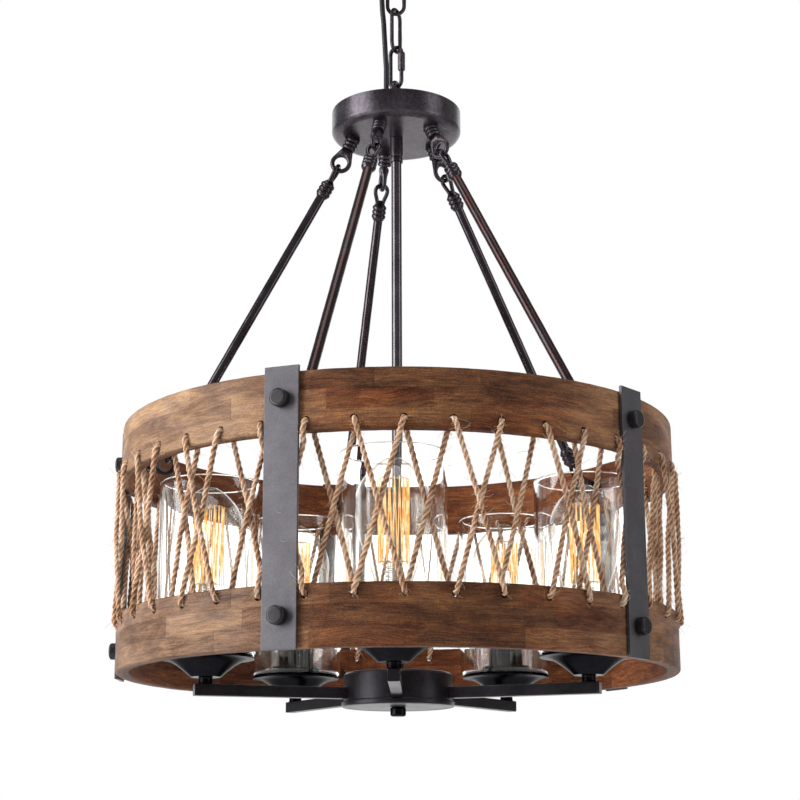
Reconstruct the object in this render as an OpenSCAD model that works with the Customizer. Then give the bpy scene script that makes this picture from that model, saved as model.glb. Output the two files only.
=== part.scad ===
// Drum chandelier: two wood rings joined by flat straps and laced with rope, hung on five rods
// from a hub, around a fixed cluster of five upright lamps in glass shades.
// The origin is the centre of the ceiling fitting's mounting plane, +Z up, -Y towards the viewer.
// An azimuth is measured from -Y and grows towards +X.

/* [Ceiling fitting] */
// Diameter of the ceiling canopy
canopy_d = 125; // [118:1:150]
// Depth of the canopy and height of its top above its underside
canopy_h = 26; // [20:1:36]
// Wall of the pressed steel canopy, hub and wiring cup
sheet_t = 1.5; // [1:0.1:2]
// Distance between the two ceiling box holes in the crossbar
box_hole_spacing = 70; // [66:1:76]
// Diameter of a ceiling box hole
box_hole_d = 4.6; // [4:0.1:5]
// Length of the crossbar
bar_l = 112; // [108:1:114]
// Width of the crossbar
bar_w = 22; // [16:1:26]
// Thickness of the crossbar
bar_t = 2.5; // [2:0.1:4]
// Distance between the two screws that hold the canopy
canopy_screw_spacing = 96; // [92:1:98]
// Diameter of the canopy screws
canopy_screw_d = 4; // [3:0.5:5]

/* [Chain] */
// Wire diameter of a chain link
link_wire = 3.8; // [3.4:0.1:4.2]
// Length of a chain link over its outside
link_l = 48; // [44:1:56]
// Width of a chain link over its outside
link_w = 20; // [19:0.5:24]
// Turn of the lower link about the vertical, seen from above
link_2_turn = 61; // [55:1:80]
// Wire diameter of the screw link
quick_wire = 4; // [3.6:0.1:4.4]
// Length of the screw link over its outside
quick_l = 46; // [44:1:52]
// Width of the screw link over its outside
quick_w = 17; // [16.5:0.5:20]
// Turn of the screw link about the vertical
quick_turn = -36; // [-45:1:-30]
// Diameter of the screw link's sleeve
sleeve_d = 7.5; // [7:0.1:8]
// Length of the screw link's sleeve
sleeve_l = 19; // [16:1:20]
// Wire diameter of the eyes at the ceiling and on the hub
eye_wire = 4.4; // [4:0.1:5]
// Radius of those eyes to the middle of the wire
eye_r = 9; // [8.5:0.5:10]
// Turn of the hub's eye about the vertical
hub_eye_turn = 68; // [60:1:75]
// Gap between two linked wires
link_gap = 0.3; // [0.2:0.1:0.5]

/* [Power cord] */
// Diameter of the power cord
cord_d = 5; // [4:0.5:5.5]

/* [Hub] */
// Diameter of the hub
hub_d = 124; // [116:1:140]
// Height of the hub
hub_h = 25; // [22:1:32]
// Radius of the hub's lower edge
hub_corner = 5; // [1.8:0.1:6]
// Diameter of the threaded nipples
nipple_d = 9.6; // [9:0.1:10]
// Bore of the threaded nipples
nipple_bore = 6.4; // [6:0.1:6.6]

/* [Centre pipe and wiring cup] */
// Length of the centre pipe below the hub
pipe_l = 512; // [480:1:560]
// Diameter of the centre pipe
pipe_d = 10; // [9:0.5:10.5]
// Bore of the centre pipe
pipe_bore = 7.8; // [7:0.1:8]
// Diameter of the collar under the hub
collar_d = 12.6; // [12:0.1:16]
// Length of the collar under the hub
collar_l = 25; // [20:1:35]
// Diameter of the wiring cup
cup_d = 97; // [90:1:110]
// Height of the wiring cup without its lid
cup_h = 25; // [23:1:32]
// Diameter of the lid
lid_d = 101; // [100:1:120]
// Thickness of the lid
lid_t = 5; // [4:0.5:8]
// Diameter of the finial
finial_d = 14; // [12:1:20]
// Height of the finial
finial_h = 8; // [6:1:16]

/* [Arms and lamps] */
// Number of lamps
lamp_n = 5; // [3:1:5]
// Azimuth of the first lamp
lamp_az = -1.1; // [-5:0.1:5]
// Clear space between a shade and the drum
lamp_clear = 20; // [16:1:30]
// Side of an arm's square tube
arm_w = 10; // [9:0.5:11]
// Wall of an arm's tube
arm_wall = 1.2; // [1:0.1:1.6]
// Length of an arm past its lamp's axis
arm_past = 10; // [8:1:14]
// Depth of the arms' tops below the wiring cup's top
arm_drop = 13.5; // [12.5:0.5:14]
// Diameter of the stem under a lamp cup
stem_d = 12.6; // [12:0.1:14]
// Height of the stem under a lamp cup
stem_h = 6; // [4:0.5:12]
// Diameter of a lamp cup's foot
foot_d = 26; // [22:1:32]
// Diameter of a lamp cup's rim
rim_d = 84; // [80:1:86]
// Height of a lamp cup
lamp_cup_h = 17; // [14:1:20]
// Wall of a lamp cup
lamp_cup_t = 1.5; // [1:0.1:2]
// Diameter of a socket's threaded body
socket_d = 33; // [31:0.5:36]
// Height of a socket
socket_h = 47; // [44:1:52]
// Diameter of the ring nut on a socket
ring_nut_d = 46; // [42:1:50]
// Height of the ring nut
ring_nut_h = 7; // [5:0.5:9]

/* [Glass shades] */
// Diameter of a shade
shade_d = 88; // [86:1:92]
// Height of a shade
shade_h = 154; // [130:1:160]
// Wall of a shade
glass_t = 3; // [2:0.1:4]
// Radius of a shade's lower edge
shade_corner = 6; // [4:0.5:7]

/* [Bulbs] */
// Largest diameter of a bulb
bulb_d = 64; // [55:1:66]
// Length of a bulb with its screw base
bulb_l = 144; // [130:1:150]
// Diameter of the screw base
base_d = 26; // [25.8:0.1:26.2]
// Length of the screw base
base_l = 25; // [23:1:27]
// Radial gap between the screw base and its socket
base_gap = 0.5; // [0.4:0.1:0.8]
// Wall of a bulb's glass
bulb_t = 1; // [0.8:0.1:1.4]
// Number of upper turns of a bulb's filament
turn_n = 7; // [5:1:8]
// Diameter of a filament strand
strand_d = 0.8; // [0.6:0.1:1]

/* [Drum] */
// Outer diameter of the wood rings
drum_d = 500; // [490:1:520]
// Wall of the wood rings
ring_wall = 12; // [10:1:14]
// Height of a wood ring
ring_h = 50; // [46:1:56]
// Height of the open band between the rings
band_h = 120; // [100:1:130]
// Drop from the hub's underside to the lower ring's underside
drum_drop = 515; // [490:1:540]
// Number of straps and rods
strap_n = 5; // [3:1:5]
// Azimuth of the first strap
strap_az = -21.3; // [-24:0.1:-18]
// Width of a strap
strap_w = 30; // [24:1:30]
// Thickness of a strap
strap_t = 3; // [2:0.5:4]
// Length of a strap past the upper ring
strap_over = 4; // [2:1:10]
// Length of a strap past the lower ring
strap_under = 1; // [0.5:0.5:10]
// Diameter of a strap bolt's head
bolt_head_d = 15; // [11:0.5:16]
// Height of a strap bolt's head
bolt_head_h = 8; // [6:0.5:12]
// Diameter of a strap bolt's shank
bolt_d = 6; // [5:0.5:6.5]
// Height of the upper bolts above the upper ring's underside
upper_bolt_z = 27; // [24:1:30]
// Height of the lower bolts above the lower ring's underside
lower_bolt_z = 25; // [15:1:32]

/* [Rods and hooks] */
// Diameter of a rod
rod_d = 9; // [6:0.5:10]
// Wire diameter of the hub hooks' and drum eyes' rings
ring_wire = 4.3; // [4:0.1:4.6]
// Radius of those rings to the middle of the wire
hook_r = 8.2; // [8:0.1:9]
// Wire diameter of the loops at a rod's ends
loop_wire = 4; // [3.6:0.1:4.4]
// Radius of those loops to the middle of the wire
loop_r = 6; // [5.8:0.1:6.6]
// Length of a loop from the pivot to its collar
leaf_l = 16; // [14:1:20]
// Diameter of the ribbed collars
grip_d = 14; // [11:0.5:15]
// Length of the ribbed collars
grip_l = 13; // [10:1:15]
// Length of the ribbed collars on the drum's eyes
eye_grip_l = 8; // [7:0.5:10]
// Distance of a hub hook's foot from the axis
hook_foot_r = 41.5; // [38:0.5:44]
// Distance of a hub hook's ring from the axis
hook_ring_r = 53.5; // [46:0.5:56]
// Depth of a hub hook's ring below the hub
hook_ring_drop = 24; // [22:1:30]
// Distance of a drum eye's ring from the upper ring's inside
drum_eye_out = 23; // [21:0.5:26]
// Gap in the rods' lower loops, where the drum turns on them
open_gap = 0.8; // [0.6:0.1:1]

/* [Lacing] */
// Diameter of the rope
rope_d = 4; // [3:0.5:4]
// Diameter of a rope hole
rope_hole_d = 6.4; // [6:0.1:7]
// Number of rope holes between two straps
bay_holes = 8; // [4:2:8]
// Height of the upper holes above the upper ring's underside
upper_hole_z = 9; // [8:1:14]
// Depth of the lower holes below the lower ring's top
lower_hole_z = 9; // [8:1:14]
// Gap between the rope and what it runs along
rope_gap = 0.3; // [0.2:0.1:0.5]

/* [Hidden] */
$fn = 48;
// clearance between pieces that are fixed together, one inside the other
fit = 0.1;
// overlap of shapes inside one piece
bite = 0.9;

// route of the power cord beside the chain, from inside the canopy to inside the hub
cord_route = [
    [-16, -4, -24], [-16, -4, -34], [-16, -4, -44], [-15.5, -4, -54], [-15, -4, -64],
    [-14, -4, -74], [-13.5, -4, -84], [-13, -4, -94], [-12, -4, -104], [-11.5, -4, -114],
    [-11, -4, -124], [-10.5, -4, -134], [-10, -4.5, -144], [-9.5, -4.5, -154],
    [-9.5, -4.5, -164], [-9.5, -5, -174], [-9.5, -5, -184], [-9.5, -5, -194], [-9.5, -5, -204]
];
cord_canopy = cord_route[0];
cord_hub = cord_route[len(cord_route) - 1];
bushing_wall = 1;
bushing_lip = 3;

// heights down the chain, each from the one above
ceiling_stub = 9;
eye_top = -canopy_h - ceiling_stub + bite;
ceiling_eye_z = eye_top - eye_r - eye_wire / 2;
link_1_top = ceiling_eye_z - eye_r + eye_wire / 2 + link_wire / 2 + link_gap;
link_pitch = link_l - link_wire;
link_1_z = link_1_top - link_pitch / 2;
link_2_top = link_1_top - link_pitch + link_wire + link_gap;
link_2_z = link_2_top - link_pitch / 2;
quick_pitch = quick_l - quick_wire;
quick_top = link_2_top - link_pitch + link_wire / 2 + quick_wire / 2 + link_gap;
quick_z = quick_top - quick_pitch / 2;
hub_eye_z = quick_top - quick_pitch + quick_wire / 2 + eye_wire / 2 + link_gap - eye_r;
hub_stub = 13.2;
hub_top = hub_eye_z - eye_r - eye_wire / 2 - hub_stub + bite;
hub_bottom = hub_top - hub_h;
hub_r = hub_d / 2;

// heights of the lamp cluster
cup_top = hub_bottom - pipe_l;
cup_bottom = cup_top - cup_h;
cup_r = cup_d / 2;
arm_top = cup_top - arm_drop;
arm_inside = 4;
stem_top = arm_top + stem_h;
floor_top = stem_top + lamp_cup_t;
rim_top = stem_top + lamp_cup_h;
rim_lip = 5;
socket_top = floor_top + socket_h;
shade_bottom = rim_top;
shade_r = shade_d / 2;
fitter_r = socket_d / 2 + 0.6;
thread_step = 2.4;
base_top = socket_top + 4;
contact_h = 3.5;
base_bottom = base_top - base_l;
contact_z = base_bottom - contact_h;
bulb_top = contact_z + bulb_l;
neck_r = base_d / 2 - 0.4;
bulb_r = bulb_d / 2;
glass_l = bulb_top - base_top;

// heights and radii of the drum
drum_z = hub_bottom - drum_drop;
upper_z = drum_z + ring_h + band_h;
drum_top = upper_z + ring_h;
drum_r = drum_d / 2;
inner_r = drum_r - ring_wall;
lamp_r = inner_r - lamp_clear - shade_r;
drum_eye_r = inner_r - drum_eye_out;
bolt_up = upper_z + upper_bolt_z;
bolt_low = drum_z + lower_bolt_z;
bolt_heights = [bolt_up, bolt_low];
strap_out = drum_r + fit + strap_t;
strap_step = 360 / strap_n;
lamp_step = 360 / lamp_n;

// a rod hangs between the hub hook's ring and the drum eye's ring, in one vertical plane
hook_ring_z = hub_bottom - hook_ring_drop;
rod_run = drum_eye_r - hook_ring_r;
rod_fall = hook_ring_z - bolt_up;
rod_lean = atan2(rod_run, rod_fall);
ring_span = norm([rod_run, rod_fall]);
hook_run = hook_ring_r - hook_foot_r;
hook_lean = atan2(hook_run, hook_ring_drop);
hook_reach = norm([hook_run, hook_ring_drop]);
stud_d = 5;
rib_n = 4;
rib_rise = 1;

// the lacing: rope_a goes down outside the drum and up inside it, rope_b the other way
hole_n = bay_holes * strap_n;
hole_step = 360 / hole_n;
hole_az = strap_az - hole_step / 2;
hole_up = upper_z + upper_hole_z;
hole_low = drum_z + ring_h - lower_hole_z;
rope_r = rope_d / 2;
cross_gap = rope_r + 0.2;
band_low = drum_z + ring_h;
band_mid = band_low + band_h / 2;
face_out = drum_r + rope_r + rope_gap;
face_in = inner_r - rope_r - rope_gap;
strap_clear = strap_w / 2 + rope_r + 0.6;
behind = drum_r + fit - rope_gap - rope_r - cross_gap;
edge_tuck = 0.5;

function polar(az, r, z) = [r * sin(az), -r * cos(az), z];
function lamp_at(i) = lamp_az + i * lamp_step;
function strap_at(i) = strap_az + i * strap_step;
function az_of(x, r) = asin(x / r);

// points of a quarter circle about (cx, cy), from angle a to angle b
function arc(cx, cy, r, a, b, n = 6) =
    [for (i = [0:n]) [cx + r * cos(a + (b - a) * i / n), cy + r * sin(a + (b - a) * i / n)]];

// half section of a dish with its floor at z = 0 and its mouth at z = h
function dish(r, h, t, corner, hole) = concat(
    [[hole, 0]],
    arc(r - corner, corner, corner, -90, 0),
    [[r, h], [r - t, h]],
    arc(r - corner, corner, corner - t, 0, -90),
    [[hole, t]]
);

// a tube swept round a list of points, with one ring of corners at each point
function unit(v) = v / norm(v);
function heading(a, b) = a == b ? [0, 0, 0] : unit(b - a);
function sweep_rings(path, r, sides, closed) = let (n = len(path)) [for (i = [0:n - 1]) let (
    before = closed || i > 0 ? path[(i + n - 1) % n] : path[i],
    after = closed || i < n - 1 ? path[(i + 1) % n] : path[i],
    along = unit(heading(before, path[i]) + heading(path[i], after)),
    side = unit(cross(unit([-path[i][1], path[i][0], 0]), along)),
    up = cross(along, side)
) [for (k = [0:sides - 1]) path[i] + r * (cos(360 * k / sides) * side + sin(360 * k / sides) * up)]];

module swept(path, r, sides, closed) {
    rings = sweep_rings(path, r, sides, closed);
    n = len(path);
    spans = closed ? n : n - 1;
    skin = [for (i = [0:spans - 1], k = [0:sides - 1]) let (
        a = i * sides + k,
        b = i * sides + (k + 1) % sides,
        c = (i + 1) % n * sides + (k + 1) % sides,
        d = (i + 1) % n * sides + k
    ) each [[a, b, c], [a, c, d]]];
    first_end = [for (k = [1:sides - 2]) [0, k + 1, k]];
    last = (n - 1) * sides;
    last_end = [for (k = [1:sides - 2]) [last, last + k, last + k + 1]];
    polyhedron([for (ring = rings) each ring], closed ? skin : concat(skin, first_end, last_end));
}

module ring_of(n, first) {
    for (i = [0:n - 1]) {
        rotate([0, 0, first + i * 360 / n]) children();
    }
}

module torus(r, wire) {
    rotate_extrude() translate([r, 0]) circle(d = wire);
}

// a ring that stands upright and faces along Y
module eye(r, wire) {
    rotate([90, 0, 0]) torus(r, wire);
}

// a long link that stands upright and faces along Y
module long_link(l, w, wire) {
    r = (w - wire) / 2;
    leg = l - wire - 2 * r;
    for (side = [0, 180]) {
        rotate([0, side, 0]) {
            translate([0, 0, leg / 2]) rotate([90, 0, 0]) rotate_extrude(angle = 180) {
                translate([r, 0]) circle(d = wire);
            }
            translate([r, 0, -leg / 2]) cylinder(d = wire, h = leg);
        }
    }
}

module bar_between(a, b, d) {
    v = b - a;
    translate(a) rotate([0, acos(v[2] / norm(v)), atan2(v[1], v[0])]) cylinder(d = d, h = norm(v));
}

module hex_nut(across, bore, h) {
    difference() {
        cylinder(d = across / cos(30), h = h, $fn = 6);
        translate([0, 0, -1]) cylinder(d = bore, h = h + 2);
    }
}

// half section of a ribbed collar from z = 0 down to z = -l
function ribbed(d, l, core) = let (step = l / (2 * rib_n)) concat(
    [[core, 0]],
    [for (k = [0:rib_n - 1]) each [
        [d / 2 - rib_rise, -2 * k * step], [d / 2, -(2 * k + 0.4) * step],
        [d / 2, -(2 * k + 1.2) * step], [d / 2 - rib_rise, -(2 * k + 1.6) * step]
    ]],
    [[d / 2 - rib_rise, -l], [core, -l]]
);

module grip(l) {
    rotate_extrude() polygon(ribbed(grip_d, l, 0));
}

// Ceiling fitting

module crossbar() {
    color("dimgray") difference() {
        translate([-bar_l / 2, -bar_w / 2, -bar_t]) cube([bar_l, bar_w, bar_t]);
        for (side = [-1, 1]) {
            translate([side * box_hole_spacing / 2, 0, -bar_t - 1]) {
                cylinder(d = box_hole_d, h = bar_t + 2);
            }
            translate([side * canopy_screw_spacing / 2, 0, -bar_t - 1]) {
                cylinder(d = canopy_screw_d + 2 * fit, h = bar_t + 2);
            }
        }
        translate([0, 0, -bar_t - 1]) cylinder(d = nipple_d + 2 * fit, h = bar_t + 2);
    }
}

module canopy() {
    color([0.16, 0.14, 0.14]) difference() {
        translate([0, 0, -canopy_h]) rotate_extrude($fn = 96) {
            polygon(dish(canopy_d / 2, canopy_h, sheet_t, 12, nipple_d / 2 + fit));
        }
        for (side = [-1, 1]) {
            translate([side * canopy_screw_spacing / 2, 0, -canopy_h - 1]) {
                cylinder(d = canopy_screw_d + 2 * fit, h = canopy_h);
            }
        }
        translate([cord_canopy[0], cord_canopy[1], -canopy_h - 1]) {
            cylinder(d = cord_d + 2 * bushing_wall + 2 * fit, h = sheet_t + 2);
        }
    }
}

module canopy_screws() {
    color("gray") for (side = [-1, 1]) {
        translate([side * canopy_screw_spacing / 2, 0, 0]) {
            translate([0, 0, -canopy_h - 2]) cylinder(d = canopy_screw_d, h = canopy_h + 1);
            translate([0, 0, -canopy_h - 1.25 * canopy_screw_d]) {
                cylinder(d1 = 1.5 * canopy_screw_d, d2 = 2.5 * canopy_screw_d, h = 1.25 * canopy_screw_d);
            }
        }
    }
}

module ceiling_eye() {
    color("dimgray") {
        translate([0, 0, ceiling_eye_z]) rotate([0, 0, 90]) eye(eye_r, eye_wire);
        difference() {
            translate([0, 0, -canopy_h - ceiling_stub]) cylinder(d = 16, h = ceiling_stub);
            translate([0, 0, -canopy_h - ceiling_stub + 3]) {
                cylinder(d = nipple_d + 2 * fit, h = ceiling_stub);
            }
        }
    }
}

module ceiling_nipple() {
    color("silver") {
        translate([0, 0, -canopy_h - ceiling_stub + 3.5]) {
            difference() {
                cylinder(d = nipple_d, h = canopy_h + ceiling_stub - 3.5);
                translate([0, 0, -1]) cylinder(d = nipple_bore, h = canopy_h + ceiling_stub);
            }
        }
        translate([0, 0, -bar_t - 4]) hex_nut(16, nipple_d + 2 * fit, 4);
    }
}

module bushing(x, y, face, below) {
    translate([x, y, face - below]) difference() {
        union() {
            cylinder(d = cord_d + 2 * bushing_wall, h = bushing_lip + sheet_t + 1);
            translate([0, 0, below - bushing_lip + 1]) {
                cylinder(d = cord_d + 4 * bushing_wall, h = bushing_lip - 1);
            }
        }
        translate([0, 0, -1]) cylinder(d = cord_d + 2 * fit, h = bushing_lip + sheet_t + 3);
    }
}

module canopy_bushing() {
    color("black") mirror([0, 0, 1]) {
        bushing(cord_canopy[0], cord_canopy[1], canopy_h + bushing_lip, bushing_lip + sheet_t + 1);
    }
}

// Chain

module chain_link_1() {
    color("dimgray") translate([0, 0, link_1_z]) long_link(link_l, link_w, link_wire);
}

module chain_link_2() {
    color("dimgray") translate([0, 0, link_2_z]) rotate([0, 0, link_2_turn]) {
        long_link(link_l, link_w, link_wire);
    }
}

quick_leg_x = (quick_w - quick_wire) / 2;
quick_leg = quick_l - quick_wire - 2 * quick_leg_x;
quick_slot = 9;
quick_slot_z = quick_leg / 2 - quick_slot - 3;
sleeve_z = quick_leg / 2 - 0.2 - sleeve_l;

module quick_link() {
    color("dimgray") translate([0, 0, quick_z]) rotate([0, 0, quick_turn]) difference() {
        long_link(quick_l, quick_w, quick_wire);
        translate([quick_leg_x - quick_wire, -quick_wire, quick_slot_z]) {
            cube([2 * quick_wire, 2 * quick_wire, quick_slot]);
        }
    }
}

module quick_link_sleeve() {
    color("gray") translate([0, 0, quick_z]) rotate([0, 0, quick_turn]) {
        translate([quick_leg_x, 0, sleeve_z]) difference() {
            cylinder(d = sleeve_d, h = sleeve_l);
            translate([0, 0, -1]) cylinder(d = quick_wire + 2 * fit, h = sleeve_l + 2);
        }
    }
}

module power_cord() {
    color("black") swept(cord_route, cord_d / 2, 10, false);
}

// Hub

module hub_eye() {
    color("dimgray") {
        translate([0, 0, hub_eye_z]) rotate([0, 0, hub_eye_turn]) eye(eye_r, eye_wire);
        difference() {
            translate([0, 0, hub_top]) cylinder(d = nipple_d + 1.8, h = hub_stub);
            translate([0, 0, hub_top - 1]) cylinder(d = nipple_d + 2 * fit, h = hub_stub - 3);
        }
    }
}

module hub_cover() {
    color([0.16, 0.14, 0.14]) difference() {
        translate([0, 0, hub_top - sheet_t]) {
            cylinder(r = hub_r - sheet_t - fit, h = sheet_t, $fn = 96);
        }
        translate([0, 0, hub_top - sheet_t - 1]) cylinder(d = nipple_d + 2 * fit, h = sheet_t + 2);
        translate([cord_hub[0], cord_hub[1], hub_top - sheet_t - 1]) {
            cylinder(d = cord_d + 2 * bushing_wall + 2 * fit, h = sheet_t + 2);
        }
    }
}

module hub_bushing() {
    color("black") bushing(cord_hub[0], cord_hub[1], hub_top + bushing_lip, bushing_lip + sheet_t + 1);
}

module hub_pan() {
    color([0.16, 0.14, 0.14]) difference() {
        translate([0, 0, hub_bottom]) rotate_extrude($fn = 96) {
            polygon(dish(hub_r, hub_h, sheet_t, hub_corner, nipple_d / 2 + fit));
        }
        ring_of(strap_n, strap_az) translate([0, -hook_foot_r, hub_bottom - 1]) {
            cylinder(d = stud_d + 2 * fit, h = sheet_t + 2);
        }
    }
}

module hub_nipple() {
    color("silver") {
        difference() {
            translate([0, 0, hub_bottom - 9]) cylinder(d = nipple_d, h = hub_h + 9 + hub_stub - 5);
            translate([0, 0, hub_bottom - 10]) cylinder(d = nipple_bore, h = hub_h + hub_stub + 10);
        }
        translate([0, 0, hub_bottom + sheet_t]) hex_nut(16, nipple_d + 2 * fit, 4);
        translate([0, 0, hub_top - sheet_t - 4]) hex_nut(13, nipple_d + 2 * fit, 4);
    }
}

module hub_hook() {
    difference() {
        union() {
            translate([0, -hook_foot_r, hub_bottom]) rotate([-hook_lean, 0, 0]) {
                cylinder(d = grip_d - 2, h = 3);
                grip(grip_l - 1);
                translate([0, 0, -hook_reach + hook_r - 0.5]) {
                    cylinder(d1 = ring_wire, d2 = grip_d - 2, h = hook_reach - hook_r - grip_l + 2);
                }
            }
            translate([0, -hook_ring_r, hook_ring_z]) rotate([0, 90, 0]) torus(hook_r, ring_wire);
        }
        translate([-grip_d, -hook_foot_r - grip_d, hub_bottom]) cube([2 * grip_d, 2 * grip_d, 10]);
    }
    translate([0, -hook_foot_r, hub_bottom - 3]) cylinder(d = stud_d, h = 3 + sheet_t + 7);
}

module hub_hooks() {
    color([0.18, 0.15, 0.15]) ring_of(strap_n, strap_az) hub_hook();
}

module hook_nuts() {
    color("silver") ring_of(strap_n, strap_az) translate([0, -hook_foot_r, hub_bottom + sheet_t]) {
        hex_nut(9, stud_d + 2 * fit, 4);
    }
}

// Centre pipe and wiring cup

module pipe_collar() {
    groove_z = 5;
    color([0.18, 0.15, 0.15]) difference() {
        translate([0, 0, hub_bottom - collar_l]) cylinder(d = collar_d, h = collar_l);
        translate([0, 0, hub_bottom - collar_l - 1]) cylinder(d = pipe_d + 2 * fit, h = collar_l + 2);
        translate([0, 0, hub_bottom - collar_l + groove_z]) difference() {
            cylinder(d = collar_d + 2, h = 1.6);
            translate([0, 0, -1]) cylinder(d = collar_d - 1, h = 4);
        }
    }
}

pipe_end = cup_top - sheet_t - 8;

module centre_pipe() {
    color([0.18, 0.15, 0.15]) difference() {
        translate([0, 0, pipe_end]) cylinder(d = pipe_d, h = hub_bottom - 9.5 - pipe_end);
        translate([0, 0, pipe_end - 1]) cylinder(d = pipe_bore, h = pipe_l + 20);
    }
}

module pipe_coupling() {
    top = cup_top - sheet_t;
    bottom = cup_bottom + 3;
    color("silver") difference() {
        translate([0, 0, bottom]) cylinder(d = 17, h = top - bottom);
        translate([0, 0, pipe_end - 6]) cylinder(d = pipe_d + 2 * fit, h = top - pipe_end + 7);
        translate([0, 0, bottom - 1]) cylinder(d = 6.2, h = 12);
        for (turn = [0, 90]) {
            rotate([0, 0, turn]) translate([-12, -2.4, pipe_end - 5.4]) cube([24, 4.8, 5]);
        }
    }
}

module wiring_cup() {
    color([0.13, 0.13, 0.14]) difference() {
        translate([0, 0, cup_top]) mirror([0, 0, 1]) rotate_extrude($fn = 96) {
            polygon(dish(cup_r, cup_h, sheet_t, 3, pipe_d / 2 + fit));
        }
        ring_of(lamp_n, lamp_az) {
            translate([-arm_w / 2 - fit, -cup_r - 2, arm_top - arm_w - fit]) {
                cube([arm_w + 2 * fit, 8, arm_w + 2 * fit]);
            }
        }
    }
}

module cup_lid() {
    skirt = 1.3;
    color([0.13, 0.13, 0.14]) translate([0, 0, cup_bottom]) rotate_extrude($fn = 96) {
        polygon([
            [3.3, -lid_t], [lid_d / 2 - 1, -lid_t], [lid_d / 2, -lid_t + 1], [lid_d / 2, -1],
            [lid_d / 2 - 1, 0], [cup_r - sheet_t - fit, 0], [cup_r - sheet_t - fit, skirt],
            [cup_r - 2 * sheet_t - fit, skirt], [cup_r - 2 * sheet_t - fit, -lid_t + sheet_t],
            [3.3, -lid_t + sheet_t]
        ]);
    }
}

module finial() {
    stud_top = cup_bottom + 10;
    bottom = cup_bottom - lid_t - finial_h;
    color("black") {
        translate([0, 0, bottom]) cylinder(d1 = finial_d - 1.2, d2 = finial_d, h = 0.6);
        translate([0, 0, bottom + 0.6]) cylinder(d = finial_d, h = finial_h - 0.6);
        translate([0, 0, bottom + 2]) cylinder(d = 6, h = stud_top - bottom - 2);
    }
}

lead_d = 3;
lead_z = arm_top - arm_w / 2;

module inner_leads() {
    color("ivory") {
        translate([0, 0, pipe_end - 1]) cylinder(d = cord_d, h = hub_top - sheet_t - 3 - pipe_end);
        ring_of(lamp_n, lamp_az) {
            translate([0, -19.1, lead_z]) rotate([90, 0, 0]) cylinder(d = lead_d, h = lamp_r - 19.1);
            translate([0, -lamp_r, lead_z - lead_d / 2]) {
                cylinder(d = lead_d, h = floor_top + 2 - lead_z + lead_d / 2);
            }
        }
    }
}

module wire_connectors() {
    color("orange") ring_of(lamp_n, lamp_az) {
        translate([0, -11, lead_z]) rotate([90, 0, 0]) cylinder(d1 = 5, d2 = 7, h = 8, $fn = 32);
        translate([0, -18.5, lead_z]) rotate([90, 0, 0]) difference() {
            cylinder(d = 7, h = 8, $fn = 32);
            translate([0, 0, -0.5]) cylinder(d = lead_d + 2 * fit, h = 9);
        }
    }
}

// Arms and lamps

module arms() {
    inside = arm_w - 2 * arm_wall;
    start = cup_r - arm_inside;
    end = lamp_r + arm_past;
    color([0.13, 0.13, 0.14]) ring_of(lamp_n, lamp_az) difference() {
        translate([-arm_w / 2, -end, arm_top - arm_w]) cube([arm_w, end - start, arm_w]);
        translate([-inside / 2, -end + arm_wall, arm_top - arm_w + arm_wall]) {
            cube([inside, end - start, inside]);
        }
        translate([0, -lamp_r, arm_top - arm_wall - 1]) cylinder(d = lead_d + 1, h = arm_wall + 2);
    }
}

module lamp_stems() {
    color([0.13, 0.13, 0.14]) ring_of(lamp_n, lamp_az) translate([0, -lamp_r, arm_top]) {
        difference() {
            cylinder(d = stem_d, h = stem_h);
            translate([0, 0, -1]) cylinder(d = lead_d + 1, h = stem_h + 2);
        }
    }
}

// half section of a lamp cup: a flat foot that flares out to a wide rim
function flare(t) = [
    foot_d / 2 + (rim_d - foot_d) / 2 * pow(t, 1.25), (lamp_cup_h - lamp_cup_t) * sin(90 * pow(t, 0.9))
];
flare_n = 10;
function lamp_cup_section() = concat(
    [[lead_d, 0]],
    [for (i = [0:flare_n]) flare(i / flare_n)],
    [
        [rim_d / 2, lamp_cup_h], [rim_d / 2 - rim_lip, lamp_cup_h],
        [rim_d / 2 - rim_lip, lamp_cup_h - lamp_cup_t]
    ],
    [for (i = [flare_n - 2:-1:0]) flare(i / flare_n) + [-0.4, lamp_cup_t]],
    [[lead_d, lamp_cup_t]]
);

module lamp_cups() {
    color([0.12, 0.12, 0.13]) ring_of(lamp_n, lamp_az) translate([0, -lamp_r, stem_top]) {
        rotate_extrude($fn = 72) polygon(lamp_cup_section());
    }
}

// half section of a socket's threaded body with its stepped bore
thread_n = floor((socket_h - 16) / thread_step);
function thread_side() = [for (k = [0:thread_n - 1]) each [
    [socket_d / 2, 10 + k * thread_step], [socket_d / 2, 10 + (k + 0.5) * thread_step],
    [socket_d / 2 - 0.7, 10 + (k + 0.6) * thread_step], [socket_d / 2 - 0.7, 10 + (k + 0.9) * thread_step]
]];

module sockets() {
    bore = base_d / 2 + base_gap;
    seat = contact_z - floor_top;
    color("black") ring_of(lamp_n, lamp_az) translate([0, -lamp_r, floor_top]) difference() {
        rotate_extrude() polygon(concat(
            [[0, 0], [foot_d / 2 - 2, 0], [foot_d / 2 - 2, 3.5], [socket_d / 2, 9]],
            thread_side(),
            [[socket_d / 2 - 0.7, socket_h], [0, socket_h]]
        ));
        translate([0, 0, seat - 2]) cylinder(r = bore, h = socket_h);
        translate([0, 0, -1]) cylinder(d = lead_d + 1, h = socket_h);
    }
}

module socket_contacts() {
    color("gold") ring_of(lamp_n, lamp_az) translate([0, -lamp_r, contact_z - 2]) {
        cylinder(d = 9, h = 1.2);
        translate([-4, -1.2, 1.2]) cube([8, 2.4, 0.5]);
    }
}

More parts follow.
